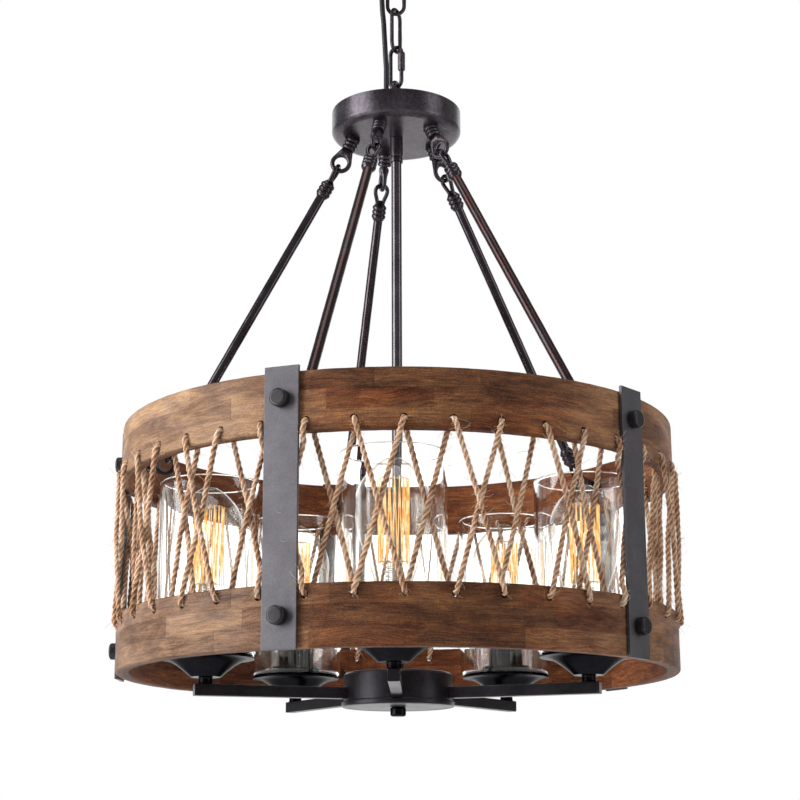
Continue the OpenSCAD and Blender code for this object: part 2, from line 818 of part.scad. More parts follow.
module ring_nuts() {
    bottom = shade_bottom + glass_t;
    color("black") ring_of(lamp_n, lamp_az) translate([0, -lamp_r, bottom]) difference() {
        cylinder(d = ring_nut_d, h = ring_nut_h);
        translate([0, 0, -1]) cylinder(d = socket_d + 2 * fit, h = ring_nut_h + 2);
    }
}

module shade(i) {
    color([0.9, 0.95, 1, 0.3]) rotate([0, 0, lamp_at(i)]) translate([0, -lamp_r, shade_bottom]) {
        rotate_extrude($fn = 96) polygon(dish(shade_r, shade_h, glass_t, shade_corner, fitter_r));
    }
}

module shade_1() { shade(0); }
module shade_2() { shade(1); }
module shade_3() { shade(2); }
module shade_4() { shade(3); }
module shade_5() { shade(4); }

// outline of a bulb's glass: a narrow neck, a long swell and a short round top, t from neck to tip
belly = 0.64;
function bulb_radius(t) = t < belly
    ? neck_r + (bulb_r - neck_r) * pow(sin(90 * t / belly), 1.35)
    : bulb_r * pow(cos(90 * (t - belly) / (1 - belly)), 0.62);
bulb_n = 22;
tip_r = 3;
function bulb_side(inset) = [for (i = [0:bulb_n]) let (t = i / bulb_n)
    [max(bulb_radius(t) - inset, i == bulb_n ? 0 : tip_r - inset), t * (glass_l - inset)]];

module bulb(i) {
    color([1, 0.85, 0.6, 0.35]) rotate([0, 0, lamp_at(i)]) translate([0, -lamp_r, base_top]) {
        rotate_extrude($fn = 64) polygon(concat(
            bulb_side(0), [for (k = [bulb_n:-1:0]) bulb_side(bulb_t)[k]]
        ));
    }
}

module bulb_1() { bulb(0); }
module bulb_2() { bulb(1); }
module bulb_3() { bulb(2); }
module bulb_4() { bulb(3); }
module bulb_5() { bulb(4); }

// the screw base, the glass stem on it and the cage of filament strands
cage_low = 26;
cage_high = 96;
cage_r = 12;
stem_l = 30;

cage_rim = cage_r + 0.9;
function core_section() = let (core = neck_r - bulb_t - fit) [
    [0, -base_l - contact_h], [4.5, -base_l - contact_h], [base_d / 2 - 2.5, -base_l],
    [base_d / 2, -base_l], [base_d / 2, 0], [core, 0], [5, 8], [3.6, 9],
    [3.6, cage_low], [cage_rim, cage_low], [cage_rim, cage_low + 1], [3.6, cage_low + 1],
    [3.6, stem_l], [1.2, stem_l + 2], [1.2, cage_high], [cage_rim, cage_high],
    [cage_rim, cage_high + 1], [0, cage_high + 1]
];

module bulb_core(i) {
    color("goldenrod") rotate([0, 0, lamp_at(i)]) translate([0, -lamp_r, base_top]) {
        rotate_extrude() polygon(core_section());
        for (k = [0:turn_n - 1], side = [-1, 1]) {
            rotate([0, 0, (k + 0.25 * side) * 360 / turn_n]) translate([cage_r, 0, cage_low + 0.5]) {
                cylinder(d = strand_d, h = cage_high - cage_low);
            }
        }
    }
}

module bulb_core_1() { bulb_core(0); }
module bulb_core_2() { bulb_core(1); }
module bulb_core_3() { bulb_core(2); }
module bulb_core_4() { bulb_core(3); }
module bulb_core_5() { bulb_core(4); }

// Drum

module wood_ring(bottom, hole_z, bolt_z) {
    rope_holes = hole_n;
    difference() {
        translate([0, 0, bottom]) rotate_extrude($fn = 144) translate([inner_r, 0]) {
            square([ring_wall, ring_h]);
        }
        ring_of(rope_holes, hole_az) translate([0, -inner_r + 4, hole_z]) rotate([90, 0, 0]) {
            cylinder(d = rope_hole_d, h = ring_wall + 8, $fn = 24);
        }
        ring_of(strap_n, strap_az) translate([0, -inner_r + 4, bolt_z]) rotate([90, 0, 0]) {
            cylinder(d = bolt_d + 4 * fit, h = ring_wall + 8);
        }
    }
}

module upper_ring() {
    color([0.42, 0.26, 0.15]) wood_ring(upper_z, hole_up, bolt_up);
}

module lower_ring() {
    color([0.42, 0.26, 0.15]) wood_ring(drum_z, hole_low, bolt_low);
}

module straps() {
    color([0.2, 0.2, 0.22]) ring_of(strap_n, strap_az) difference() {
        translate([-strap_w / 2, -strap_out, drum_z - strap_under]) {
            cube([strap_w, strap_t, drum_top - drum_z + strap_over + strap_under]);
        }
        for (z = bolt_heights) {
            translate([0, -drum_r + 2, z]) rotate([90, 0, 0]) cylinder(d = bolt_d + 2 * fit, h = 10);
        }
    }
}

eye_bore_l = eye_grip_l;
nut_h = bolt_d * 5 / 6;
nut_across = bolt_d * 5 / 3;

module strap_bolt(z, shank_end) {
    chamfer = 0.8;
    translate([0, -strap_out, z]) rotate([90, 0, 0]) {
        cylinder(d = bolt_head_d, h = bolt_head_h - chamfer);
        translate([0, 0, bolt_head_h - chamfer]) {
            cylinder(d1 = bolt_head_d, d2 = bolt_head_d - 2 * chamfer, h = chamfer);
        }
        translate([0, 0, shank_end - strap_out]) cylinder(d = bolt_d, h = strap_out - shank_end + 1);
    }
}

module strap_bolts() {
    color("black") ring_of(strap_n, strap_az) {
        strap_bolt(bolt_up, inner_r - eye_bore_l + 1);
        strap_bolt(bolt_low, inner_r - nut_h - 1);
    }
}

module bolt_nuts() {
    color("black") ring_of(strap_n, strap_az) {
        translate([0, -inner_r + nut_h + 0.8, bolt_low]) rotate([90, 0, 0]) {
            hex_nut(nut_across, bolt_d + 2 * fit, nut_h);
        }
    }
}

module drum_eye() {
    difference() {
        union() {
            translate([0, -inner_r + 0.8, bolt_up]) rotate([-90, 0, 0]) {
                mirror([0, 0, 1]) grip(eye_grip_l);
                translate([0, 0, eye_grip_l - 1]) {
                    cylinder(
                        d1 = grip_d - 2, d2 = ring_wire,
                        h = inner_r - 0.8 - drum_eye_r - hook_r + 0.5 - eye_grip_l + 1
                    );
                }
            }
            translate([0, -drum_eye_r, bolt_up]) rotate([0, 90, 0]) torus(hook_r, ring_wire);
        }
        translate([0, -inner_r + eye_bore_l, bolt_up]) rotate([90, 0, 0]) {
            cylinder(d = bolt_d + 2 * fit, h = eye_bore_l + 2);
        }
    }
}

module drum_eyes() {
    color("black") ring_of(strap_n, strap_az) drum_eye();
}

// Rods

// one end of a rod, with the pivot at the origin and the rod running down from it
module rod_end(gap) {
    wire_z = ring_wire / 2 + loop_wire / 2 + gap;
    turn_z = wire_z - loop_r;
    translate([0, 0, turn_z]) rotate([90, 0, 0]) rotate_extrude(angle = 180) {
        translate([loop_r, 0]) circle(d = loop_wire);
    }
    for (side = [-1, 1]) {
        translate([side * loop_r, 0, turn_z]) sphere(d = loop_wire + 0.3);
        bar_between([side * loop_r, 0, turn_z], [side * 2.3, 0, -leaf_l - 1], loop_wire);
    }
    translate([0, 0, -leaf_l]) cylinder(d1 = grip_d - 2, d2 = loop_wire + 1, h = 5);
    translate([0, 0, -leaf_l]) grip(grip_l);
}

module rod(i) {
    ends = leaf_l + grip_l - 1;
    color([0.24, 0.16, 0.15]) rotate([0, 0, strap_at(i)]) {
        translate([0, -hook_ring_r, hook_ring_z]) rotate([-rod_lean, 0, 0]) {
            translate([0, 0, -hook_r]) rod_end(link_gap);
            translate([0, 0, hook_r - ring_span]) rotate([180, 0, 0]) rod_end(open_gap);
            translate([0, 0, hook_r - ring_span + ends]) {
                cylinder(d = rod_d, h = ring_span - 2 * hook_r - 2 * ends);
            }
        }
    }
}

module rod_1() { rod(0); }
module rod_2() { rod(1); }
module rod_3() { rod(2); }
module rod_4() { rod(3); }
module rod_5() { rod(4); }

// Lacing

// points of one pass of rope between two neighbouring holes, from the upper hole to the lower one:
// low_side is the azimuth step to the lower hole, lift moves the crossing out (1) or in (-1)
function pass_az(az, low_side, z) = az + low_side * hole_step * (hole_up - z) / (hole_up - hole_low);
function plain_pass(az, low_side, face, lift) = let (
    high = upper_z - edge_tuck,
    low = band_low + edge_tuck,
    upper_quarter = (high + band_mid) / 2,
    lower_quarter = (low + band_mid) / 2,
    mouth_r = face - sign(face - inner_r - 3) * 0.7,
    mid_r = face * cos(hole_step * 0.42) + lift * cross_gap,
    quarter_r = (face + mid_r) / 2
) [
    polar(az, (drum_r + inner_r) / 2, hole_up),
    polar(az, mouth_r, hole_up),
    polar(pass_az(az, low_side, high), face, high),
    polar(pass_az(az, low_side, upper_quarter), quarter_r, upper_quarter),
    polar(pass_az(az, low_side, band_mid), mid_r, band_mid),
    polar(pass_az(az, low_side, lower_quarter), quarter_r, lower_quarter),
    polar(pass_az(az, low_side, low), face, low),
    polar(az + low_side * hole_step, mouth_r, hole_low)
];

// a pass behind a strap keeps outside the strap's edge until it is below the ring, then tucks in
function strap_pass(az, low_side, lift) = let (
    centre = az + low_side * hole_step / 2,
    high = upper_z - edge_tuck,
    low = band_low + edge_tuck,
    turn = 9,
    tuck = 19,
    side = az_of(strap_clear, drum_r),
    near = az_of(strap_clear * (band_h / 2 - tuck) / (band_h / 2 - turn), drum_r)
) [
    polar(az, (drum_r + inner_r) / 2, hole_up),
    polar(az, face_out - 0.7, hole_up),
    polar(centre - low_side * az_of(strap_clear + 0.6, drum_r), face_out, high),
    polar(centre - low_side * side, drum_r - 0.8, high - turn + edge_tuck),
    polar(centre - low_side * near, behind + cross_gap, high - tuck + edge_tuck),
    polar(centre, behind + lift * cross_gap, band_mid),
    polar(centre + low_side * near, behind + cross_gap, low + tuck - edge_tuck),
    polar(centre + low_side * side, drum_r - 0.8, low + turn - edge_tuck),
    polar(centre + low_side * az_of(strap_clear + 0.6, drum_r), face_out, low),
    polar(az + low_side * hole_step, face_out - 0.7, hole_low)
];

function backwards(list) = [for (i = [len(list) - 1:-1:0]) list[i]];
function turned(list) = let (n = len(list)) [
    polar_mid(list), for (i = [n - 1:-1:1]) list[i]
];
function polar_mid(list) = let (p = list[len(list) - 1], q = [p[0], p[1], 0])
    q / norm(q) * (drum_r + inner_r) / 2 + [0, 0, p[2]];

// outside passes start at even holes and inside passes at odd ones
function has_strap(k) = k % bay_holes == 0;
function outside_a(k) = let (az = hole_az + k * hole_step)
    has_strap(k) ? strap_pass(az, 1, 1) : plain_pass(az, 1, face_out, 1);
function inside_a(k) = let (az = hole_az + (k + 1) * hole_step) turned(plain_pass(az, -1, face_in, 1));
function outside_b(k) = let (az = hole_az + (k + 1) * hole_step)
    turned(has_strap(k) ? strap_pass(az, -1, -1) : plain_pass(az, -1, face_out, -1));
function inside_b(k) = let (az = hole_az + k * hole_step) plain_pass(az, 1, face_in, -1);

module rope_a() {
    path = [for (k = [0:2:hole_n - 2]) each concat(outside_a(k), inside_a(k + 1))];
    color("burlywood") swept(path, rope_r, 6, true);
}

module rope_b() {
    path = [for (k = [0:2:hole_n - 2]) each concat(outside_b(k), inside_b(k + 1))];
    color("burlywood") swept(path, rope_r, 6, true);
}

crossbar();
canopy();
canopy_screws();
ceiling_eye();
ceiling_nipple();
canopy_bushing();
chain_link_1();
chain_link_2();
quick_link();
quick_link_sleeve();
power_cord();
hub_eye();
hub_cover();
hub_pan();
hub_bushing();
hub_nipple();
hub_hooks();
hook_nuts();
pipe_collar();
centre_pipe();
pipe_coupling();
wiring_cup();
cup_lid();
finial();
inner_leads();
wire_connectors();
arms();
lamp_stems();
lamp_cups();
sockets();
socket_contacts();
ring_nuts();
shade_1();
shade_2();
shade_3();
shade_4();
shade_5();
bulb_1();
bulb_2();
bulb_3();
bulb_4();
bulb_5();
bulb_core_1();
bulb_core_2();
bulb_core_3();
bulb_core_4();
bulb_core_5();
upper_ring();
lower_ring();
straps();
strap_bolts();
bolt_nuts();
drum_eyes();
rope_a();
rope_b();
rod_1();
rod_2();
rod_3();
rod_4();
rod_5();
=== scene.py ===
"""Looks of the drum chandelier: camera, power cord, every visible piece, finishes and light."""

import random
from math import acos, asin, atan2, copysign, cos, degrees, exp, hypot, pi, radians, sin

import bmesh
import bpy
from mathutils import Matrix, Vector


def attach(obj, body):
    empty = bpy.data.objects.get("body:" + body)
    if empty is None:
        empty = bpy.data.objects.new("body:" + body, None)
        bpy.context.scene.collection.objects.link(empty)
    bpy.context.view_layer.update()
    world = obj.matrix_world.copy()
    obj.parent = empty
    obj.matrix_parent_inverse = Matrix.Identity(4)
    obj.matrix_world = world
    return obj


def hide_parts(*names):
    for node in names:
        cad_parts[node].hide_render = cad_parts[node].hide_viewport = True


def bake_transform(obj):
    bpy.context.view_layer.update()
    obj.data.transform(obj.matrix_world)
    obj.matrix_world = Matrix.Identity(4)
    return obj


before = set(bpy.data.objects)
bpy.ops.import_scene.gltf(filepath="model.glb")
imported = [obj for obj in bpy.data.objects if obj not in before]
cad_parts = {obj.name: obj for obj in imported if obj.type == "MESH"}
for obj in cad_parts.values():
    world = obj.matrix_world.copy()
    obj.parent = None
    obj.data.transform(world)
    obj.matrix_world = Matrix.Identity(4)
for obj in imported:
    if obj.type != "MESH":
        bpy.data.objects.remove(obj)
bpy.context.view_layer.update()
MM = 0.001


# Camera

def place_camera():
    lens = bpy.data.cameras.new("front_camera")
    camera = bpy.data.objects.new("front_camera", lens)
    bpy.context.scene.collection.objects.link(camera)
    sensor_mm, picture_px, focal_px = 36.0, 800.0, 1777.0
    lens.sensor_width, lens.lens = sensor_mm, focal_px / picture_px * sensor_mm
    lens.clip_end = 60.0
    tilt, swing, roll = radians(14.15), radians(0.135), radians(-0.21)
    turn = Matrix.Rotation(-swing, 4, "Z") @ Matrix.Rotation(radians(90) + tilt, 4, "X")
    place = Matrix.Translation((-0.0011, -1.6, -0.8883))
    camera.matrix_world = place @ turn @ Matrix.Rotation(roll, 4, "Z")
    bpy.context.scene.camera = camera


place_camera()
bpy.context.scene.view_settings.view_transform = "Standard"


# Forms, in millimetres

def spot(azimuth, radius, height=0.0):
    a = radians(azimuth)
    return Vector((radius * sin(a), -radius * cos(a), height))


def shift(x, y, z):
    return Matrix.Translation((x, y, z))


def spin(turn, axis="Z"):
    return Matrix.Rotation(radians(turn), 4, axis)


def seat(azimuth, radius, z):
    """A place at this azimuth and radius, with its -Y side facing out."""
    return spin(azimuth) @ shift(0, -radius, z)


def eased(outline, radius, steps=3):
    """An outline with its corners rounded."""
    soft, n = [], len(outline)
    for i, (x, y) in enumerate(outline):
        (ax, ay), (bx, by) = outline[i - 1], outline[(i + 1) % n]
        la, lb = hypot(ax - x, ay - y), hypot(bx - x, by - y)
        d = min(radius, 0.45 * la, 0.45 * lb)
        if d < 0.02 or x < 0.01:
            soft.append((x, y))
            continue
        p = (x + (ax - x) * d / la, y + (ay - y) * d / la)
        q = (x + (bx - x) * d / lb, y + (by - y) * d / lb)
        for k in range(steps + 1):
            t = k / steps
            soft.append(tuple(p[j] * (1 - t) ** 2 + 2 * (x, y)[j] * t * (1 - t) + q[j] * t * t
                              for j in (0, 1)))
    return soft


def circle(radius, sides=14):
    return [(radius * cos(2 * pi * k / sides), radius * sin(2 * pi * k / sides))
            for k in range(sides)]


def arc(cx, cy, radius, start, end, steps=10):
    turns = [radians(start + (end - start) * k / steps) for k in range(steps + 1)]
    return [(cx + radius * cos(a), cy + radius * sin(a)) for a in turns]


def wrapped(rings, around):
    """Faces of a skin that closes on itself both ways."""
    return [(s * around + k, (s + 1) % rings * around + k, (s + 1) % rings * around + (k + 1) % around,
             s * around + (k + 1) % around) for s in range(rings) for k in range(around)]


class Form:
    """Points and faces of one piece."""

    def __init__(self):
        self.points, self.faces, self.marks = [], [], []

    def add(self, points, faces, place=Matrix()):
        start = len(self.points)
        self.points += [place @ Vector(p) for p in points]
        self.faces += [tuple(i + start for i in face) for face in faces]
        return self

    def turned(self, outline, sides=64, place=Matrix(), swell=None):
        """A closed (radius, height) outline turned about the vertical. swell changes a radius by side."""
        points = []
        for s in range(sides):
            a = 2 * pi * s / sides
            for r, h in outline:
                r = swell(s, r) if swell else r
                points.append((r * cos(a), r * sin(a), h))
        return self.add(points, wrapped(sides, len(outline)), place)

    def swept(self, path, section, closed=False, sizes=None, lay=0.0, place=Matrix(), start=None,
              marks=None):
        """A section carried along a path. sizes scales it at each point, lay twists it, in degrees a mm.

        marks gives each point of the section a value that its finish can read.
        """
        n, m = len(path), len(section)
        path = [Vector(p) for p in path]
        ahead = [(path[(i + 1) % n if closed else min(i + 1, n - 1)]
                  - path[(i - 1) % n if closed else max(i - 1, 0)]).normalized() for i in range(n)]
        side = Vector(start) if start else ahead[0].orthogonal()
        run, points = 0.0, []
        for i in range(n):
            if i:
                side = ahead[i - 1].rotation_difference(ahead[i]) @ side
                run += (path[i] - path[i - 1]).length
            side = (side - ahead[i] * side.dot(ahead[i])).normalized()
            other = ahead[i].cross(side)
            turn = radians(lay * run)
            c, s = cos(turn), sin(turn)
            k = sizes[i] if sizes else 1.0
            for a, b in section:
                points.append(path[i] + k * ((a * c - b * s) * side + (a * s + b * c) * other))
            self.marks += marks or []
        faces = [(i * m + k, i * m + (k + 1) % m, (i + 1) % n * m + (k + 1) % m, (i + 1) % n * m + k)
                 for i in range(n if closed else n - 1) for k in range(m)]
        if not closed:
            faces += [tuple(reversed(range(m))), tuple((n - 1) * m + k for k in range(m))]
        return self.add(points, faces, place)

    def ring(self, radius, wire, place=Matrix(), sides=48, around=16):
        path = [(x, y, 0) for x, y in circle(radius, sides)]
        return self.swept(path, circle(wire / 2, around), closed=True, place=place)

    def block(self, low, high, ease, place=Matrix()):
        """A bar with eased edges."""
        bm = bmesh.new()
        bmesh.ops.create_cube(bm, size=1.0)
        low, high = Vector(low), Vector(high)
        for v in bm.verts:
            v.co = Vector([low[j] + (v.co[j] + 0.5) * (high[j] - low[j]) for j in range(3)])
        bmesh.ops.bevel(bm, geom=list(bm.edges), offset=ease, segments=2, profile=0.5, affect="EDGES")
        bm.verts.index_update()
        faces = [[v.index for v in face.verts] for face in bm.faces]
        self.add([v.co.copy() for v in bm.verts], faces, place)
        bm.free()
        return self


def smooth_line(knots, step):
    """Points about step apart on a smooth line through the knots."""
    knots = [Vector(k) for k in knots]
    n, line = len(knots), []
    for i in range(n - 1):
        p0, p1, p2, p3 = knots[max(i - 1, 0)], knots[i], knots[i + 1], knots[min(i + 2, n - 1)]
        span = (p2 - p1).length
        m1 = (p2 - p0) * 0.5 * min(1.0, span / max((p1 - p0).length, 1e-6))
        m2 = (p3 - p1) * 0.5 * min(1.0, span / max((p3 - p2).length, 1e-6))
        pieces = max(1, round(span / step))
        for k in range(pieces):
            t = k / pieces
            line.append(p1 * (2 * t ** 3 - 3 * t * t + 1) + m1 * (t ** 3 - 2 * t * t + t)
                        + p2 * (3 * t * t - 2 * t ** 3) + m2 * (t ** 3 - t * t))
    return line + [knots[-1]]


def made(form, name, finish, body, nodes=(), slot=None, crease=32):
    """The piece of a form: an object in metres that rides on a body and stands for CAD nodes."""
    mesh = bpy.data.meshes.new(name)
    mesh.from_pydata([p * MM for p in form.points], [], form.faces)
    if form.marks:
        # A value at each point for the finish; the rope uses it for painted shade in its grooves.
        groove_shade = mesh.attributes.new("groove_shade", "FLOAT", "POINT")
        groove_shade.data.foreach_set("value", form.marks)
    bm = bmesh.new()
    bm.from_mesh(mesh)
    bmesh.ops.remove_doubles(bm, verts=bm.verts, dist=2e-6)
    bmesh.ops.dissolve_degenerate(bm, edges=bm.edges, dist=1e-6)
    bmesh.ops.recalc_face_normals(bm, faces=bm.faces)
    bm.to_mesh(mesh)
    bm.free()
    mesh.polygons.foreach_set("use_smooth", [True] * len(mesh.polygons))
    mesh.set_sharp_from_angle(angle=radians(crease))
    mesh.materials.append(finish)
    piece = bpy.data.objects.new(name, mesh)
    bpy.context.scene.collection.objects.link(piece)
    if not form.marks:
        piece.modifiers.new("even_shading", "WEIGHTED_NORMAL").keep_sharp = True
    if body:
        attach(piece, body)
    if nodes:
        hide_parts(*([nodes] if isinstance(nodes, str) else nodes))
    return piece


def lathed(outline, ease, sides, z, *told, steps=2):
    """A piece that is turned about the centre line, with eased corners, at this height."""
    made(Form().turned(eased(outline, ease, steps), sides, shift(0, 0, z)), *told)


# Finishes

class Field:
    """A value that changes over a surface: a shader socket with arithmetic."""

    def __init__(self, finish, socket):
        self.finish, self.socket = finish, socket

    def maths(self, operation, *values, clamp=False):
        settings = {"operation": operation, "use_clamp": clamp}
        return self.finish.field("Math", settings, dict(enumerate(values)))

    def __add__(self, other):
        return self.maths("ADD", self, other)

    __radd__ = __add__

    def __sub__(self, other):
        return self.maths("SUBTRACT", self, other)

    def __rsub__(self, other):
        return self.maths("SUBTRACT", other, self)

    def __mul__(self, other):
        return self.maths("MULTIPLY", self, other)

    __rmul__ = __mul__

    def __truediv__(self, other):
        return self.maths("DIVIDE", self, other)

    def __pow__(self, other):
        return self.maths("POWER", self, other)

    def whole(self):
        return self.maths("FLOOR", self)

    def rest(self):
        return self.maths("FRACT", self)

    def held(self):
        """The value kept between 0 and 1."""
        return self.maths("MULTIPLY", self, 1.0, clamp=True)


class Finish:
    """A material, or the world's surface, that is built node by node."""

    def __init__(self, name, world=False):
        self.owner = (bpy.data.worlds if world else bpy.data.materials).new(name)
        self.owner.use_nodes = True
        self.tree = self.owner.node_tree
        self.tree.nodes.clear()
        if not world:
            self.here = self.field("TexCoord", socket="Object")

    def node(self, kind, settings=None, inputs=None):
        """A shader node: its settings first, then the values or links of its sockets."""
        node = self.tree.nodes.new("ShaderNode" + kind)
        for key, value in (settings or {}).items():
            if key == "stops":
                for k, (at, colour) in enumerate(value):
                    stop = node.color_ramp.elements[k] if k < 2 else node.color_ramp.elements.new(at)
                    stop.position, stop.color = at, (*colour, 1.0)
            else:
                setattr(node, key, value)
        for key, value in (inputs or {}).items():
            if isinstance(value, Field):
                self.tree.links.new(value.socket, node.inputs[key])
            else:
                node.inputs[key].default_value = (*value, 1.0) if isinstance(value, tuple) else value
        return node

    def field(self, kind, settings=None, inputs=None, socket=0):
        return Field(self, self.node(kind, settings, inputs).outputs[socket])

    def split(self, vector):
        return [Field(self, socket) for socket in self.node("SeparateXYZ", None, {0: vector}).outputs]

    def joined(self, x, y, z):
        return self.field("CombineXYZ", None, {0: x, 1: y, 2: z})

    def noise(self, scale, detail=3.0, rough=0.5, place=None, warp=0.0):
        return self.field("TexNoise", None, {"Vector": place or self.here, "Scale": scale, "Detail": detail,
                                             "Roughness": rough, "Distortion": warp}, "Fac")

    def cells(self, place):
        return self.field("TexVoronoi", None, {"Vector": place, "Scale": 1.0}, "Distance")

    def dice(self, place):
        return self.field("TexWhiteNoise", {"noise_dimensions": "3D"}, {"Vector": place})

    def ramp(self, value, *stops):
        return self.field("ValToRGB", {"stops": stops}, {0: value})

    def mixed(self, share, first, second):
        return self.field("Mix", {"data_type": "RGBA"}, {0: share, 6: first, 7: second}, 2)

    def blended(self, share, first, second):
        """A mix of two shaders."""
        return self.field("MixShader", None, {0: share, 1: first, 2: second})

    def relief(self, height, strength, depth_mm, under=None):
        inputs = {"Height": height, "Strength": strength, "Distance": depth_mm * MM}
        if under:
            inputs["Normal"] = under
        return self.field("Bump", None, inputs)

    def surface(self, **inputs):
        """The Principled shader with these sockets, by name with _ for a space."""
        return self.field("BsdfPrincipled", None, {
            key.replace("_", " ").title().replace("Ior", "IOR"): value for key, value in inputs.items()})

    def done(self, shader, output="OutputMaterial"):
        self.node(output, None, {"Surface": shader})
        return self.owner

    def surfaced(self, **inputs):
        return self.done(self.surface(**inputs))

    def seen_white(self):
        """1 for camera rays, also through glass, and 0 for the others."""
        rays = self.node("LightPath").outputs
        camera, through = (Field(self, rays[f"Is {kind} Ray"]) for kind in ("Camera", "Transmission"))
        return camera.maths("ADD", camera, through, clamp=True)


def aged_metal(name, dark, light, rust, rust_share, rough=0.42, metallic=0.75, speck=900.0, pits=0.35,
               edge=1.0):
    """Painted or blackened metal with cloudy tone, fine specks and rubbed spots.

    speck is the specks' scale, pits their depth and edge the brightness of what is seen at a slant.
    """
    f = Finish(name)
    cloud = f.noise(38.0, 4.0, 0.6)
    grit = f.noise(speck, 3.0, 0.7)
    tone = (cloud * 0.45 + grit * 0.55 - 0.33) * 2.9
    base = f.mixed(tone.held(), dark, light)
    fleck = f.noise(60.0, 5.0, 0.7) * 0.4 + f.noise(speck * 0.5, 2.0, 0.75) * 0.6
    patch = (fleck - 0.53 + rust_share * 0.16) * 14.0
    colour = f.mixed((patch.held() * min(1.0, rust_share * 1.6)).held(), base, rust)
    roughness = rough + (cloud - 0.5) * 0.18 + (grit - 0.5) * 0.7 * pits
    bump = f.relief(grit, pits, 0.25, f.relief(cloud, 0.2, 0.8))
    return f.surfaced(base_color=colour, roughness=roughness, metallic=metallic, normal=bump,
                      specular_tint=(edge, edge, edge))


def weathered_wood(name, bottom_mm, seed, left_painted_shade=0.0):
    """Glued boards bent round the drum: grain along the ring, dark stains, and a tan on the left side, less
    on the right, that is partly real wear and partly painted light where the side lamps fall.
    """
    f = Finish(name)
    x, y, z = f.split(f.here)
    along = f.here.maths("ARCTAN2", x, y * -1.0) * 0.25 + seed
    radius = (x * x + y * y) ** 0.5
    height = z - bottom_mm * MM
    row_h, board_l = 0.0167, 0.085
    row = (height / row_h).whole()
    run = along / board_l + f.dice(f.joined(row, seed, 0.3))
    board = run.whole()
    pick = f.dice(f.joined(board, row, seed))
    hue = f.dice(f.joined(row, board, seed + 3.1))
    arch = f.noise(1.0, 1.0, 0.5, f.joined(along * 20.0 + pick * 50.0, radius * 9.0, z * 38.0)) - 0.5
    level = z + arch * (0.003 + hue * hue * 0.022)
    grain = f.noise(1.0, 3.0, 0.6, f.joined(along * 18.0 + pick * 30.0, radius * 200.0, level * 620.0))
    lines = f.noise(1.0, 2.0, 0.65, f.joined(along * 60.0, radius * 700.0, level * 2300.0))
    pores = f.noise(1.0, 3.0, 0.75, f.joined(along * 800.0, radius * 1400.0, level * 1900.0))
    stain = f.noise(1.0, 5.0, 0.62, f.joined(along * 12.0 + 3.0, radius * 20.0, z * 40.0 + seed), 0.7)
    blot = f.noise(1.0, 5.0, 0.7, f.joined(along * 34.0, radius * 60.0, z * 140.0 + seed * 2.0), 0.4)
    # left is high on the left side and a little on the right, where the side lamps light the ring most; the
    # tan laid there is partly painted light.
    left = ((x / radius * -1.0 - 0.22) * 2.9).held() + ((x / radius - 0.42) * 0.9).held()
    # A given amount darkens the left side of the lower ring: painted shade over its lit side.
    tone = (0.53 - left * left_painted_shade + (grain - 0.5) * 0.62 + (lines - 0.5) * 0.95 + (pores - 0.5) * 1.35
            + (pick - 0.5) * 0.22 + (stain - 0.5) * 1.05 + (blot - 0.5) * 0.85).held()
    brown = f.ramp(tone, (0.03, (0.03, 0.014, 0.009)), (0.97, (0.46, 0.2, 0.058)),
                   (0.3, (0.084, 0.037, 0.021)), (0.52, (0.16, 0.066, 0.032)), (0.74, (0.25, 0.106, 0.044)))
    red = f.ramp(tone, (0.03, (0.034, 0.012, 0.007)), (0.97, (0.48, 0.16, 0.05)),
                 (0.3, (0.1, 0.03, 0.014)), (0.6, (0.215, 0.066, 0.026)))
    tan = f.ramp(tone, (0.03, (0.1, 0.056, 0.038)), (0.97, (0.58, 0.37, 0.2)),
                 (0.3, (0.21, 0.122, 0.076)), (0.56, (0.33, 0.196, 0.118)))
    grey = f.ramp(tone, (0.03, (0.085, 0.051, 0.043)), (0.97, (0.48, 0.32, 0.22)),
                  (0.5, (0.225, 0.142, 0.108)))
    haze = f.noise(1.0, 4.0, 0.65, f.joined(along * 16.0, radius * 40.0, z * 85.0 + seed * 3.0), 0.5)
    # Tan and grey for the lit sides: partly real weathering, partly painted light.
    worn = f.mixed(((haze - 0.46) * 5.0).held(), tan, grey)
    ruddy = ((f.noise(1.0, 3.0, 0.6, f.joined(along * 11.0, radius * 30.0, z * 60.0 + seed)) - 0.47) * 4.0
             + (hue - 0.5) * 0.9).held()
    # The tan mix below is partly real wear and partly painted light on the lit sides.
    wear_and_side_light = (left * 0.95 + (pick - 0.5) * 0.16 + (stain - 0.5) * 0.6).held()
    colour = f.mixed(wear_and_side_light, f.mixed((ruddy * 0.85).held(), brown, red), worn)
    wall_mid, ring_h, rim_w = 0.2446, 0.05, 0.002
    inner = ((wall_mid - radius) * 900.0).held()
    colour = f.mixed((inner * 0.85).held(), colour, red)
    gap = f.here.maths("MINIMUM", run.rest(), 1.0 - run.rest()) * board_l
    shelf = f.here.maths("MINIMUM", (height / row_h).rest(), 1.0 - (height / row_h).rest()) * row_h
    seam = ((1.0 - gap / 0.0006).held() * 0.5 + (1.0 - shelf / 0.0004).held() * 0.3).held()
    knot = (1.0 - f.cells(f.joined(along * 9.0, radius * 2.0, z * 19.0)) * 8.0).held()
    rim = (1.0 - f.here.maths("MINIMUM", height, ring_h - height) / rim_w).held()
    colour = f.mixed((seam * 0.45 + knot * 0.6 + rim * 0.3).held(), colour, (0.034, 0.012, 0.007))
    roughness = 0.56 + (grain - 0.5) * 0.3 + (pores - 0.5) * 0.4
    bump = f.relief(pores, 0.5, 0.25, f.relief(grain - seam, 0.5, 0.5))
    return f.surfaced(base_color=colour, roughness=roughness, normal=bump, specular_ior_level=0.1)


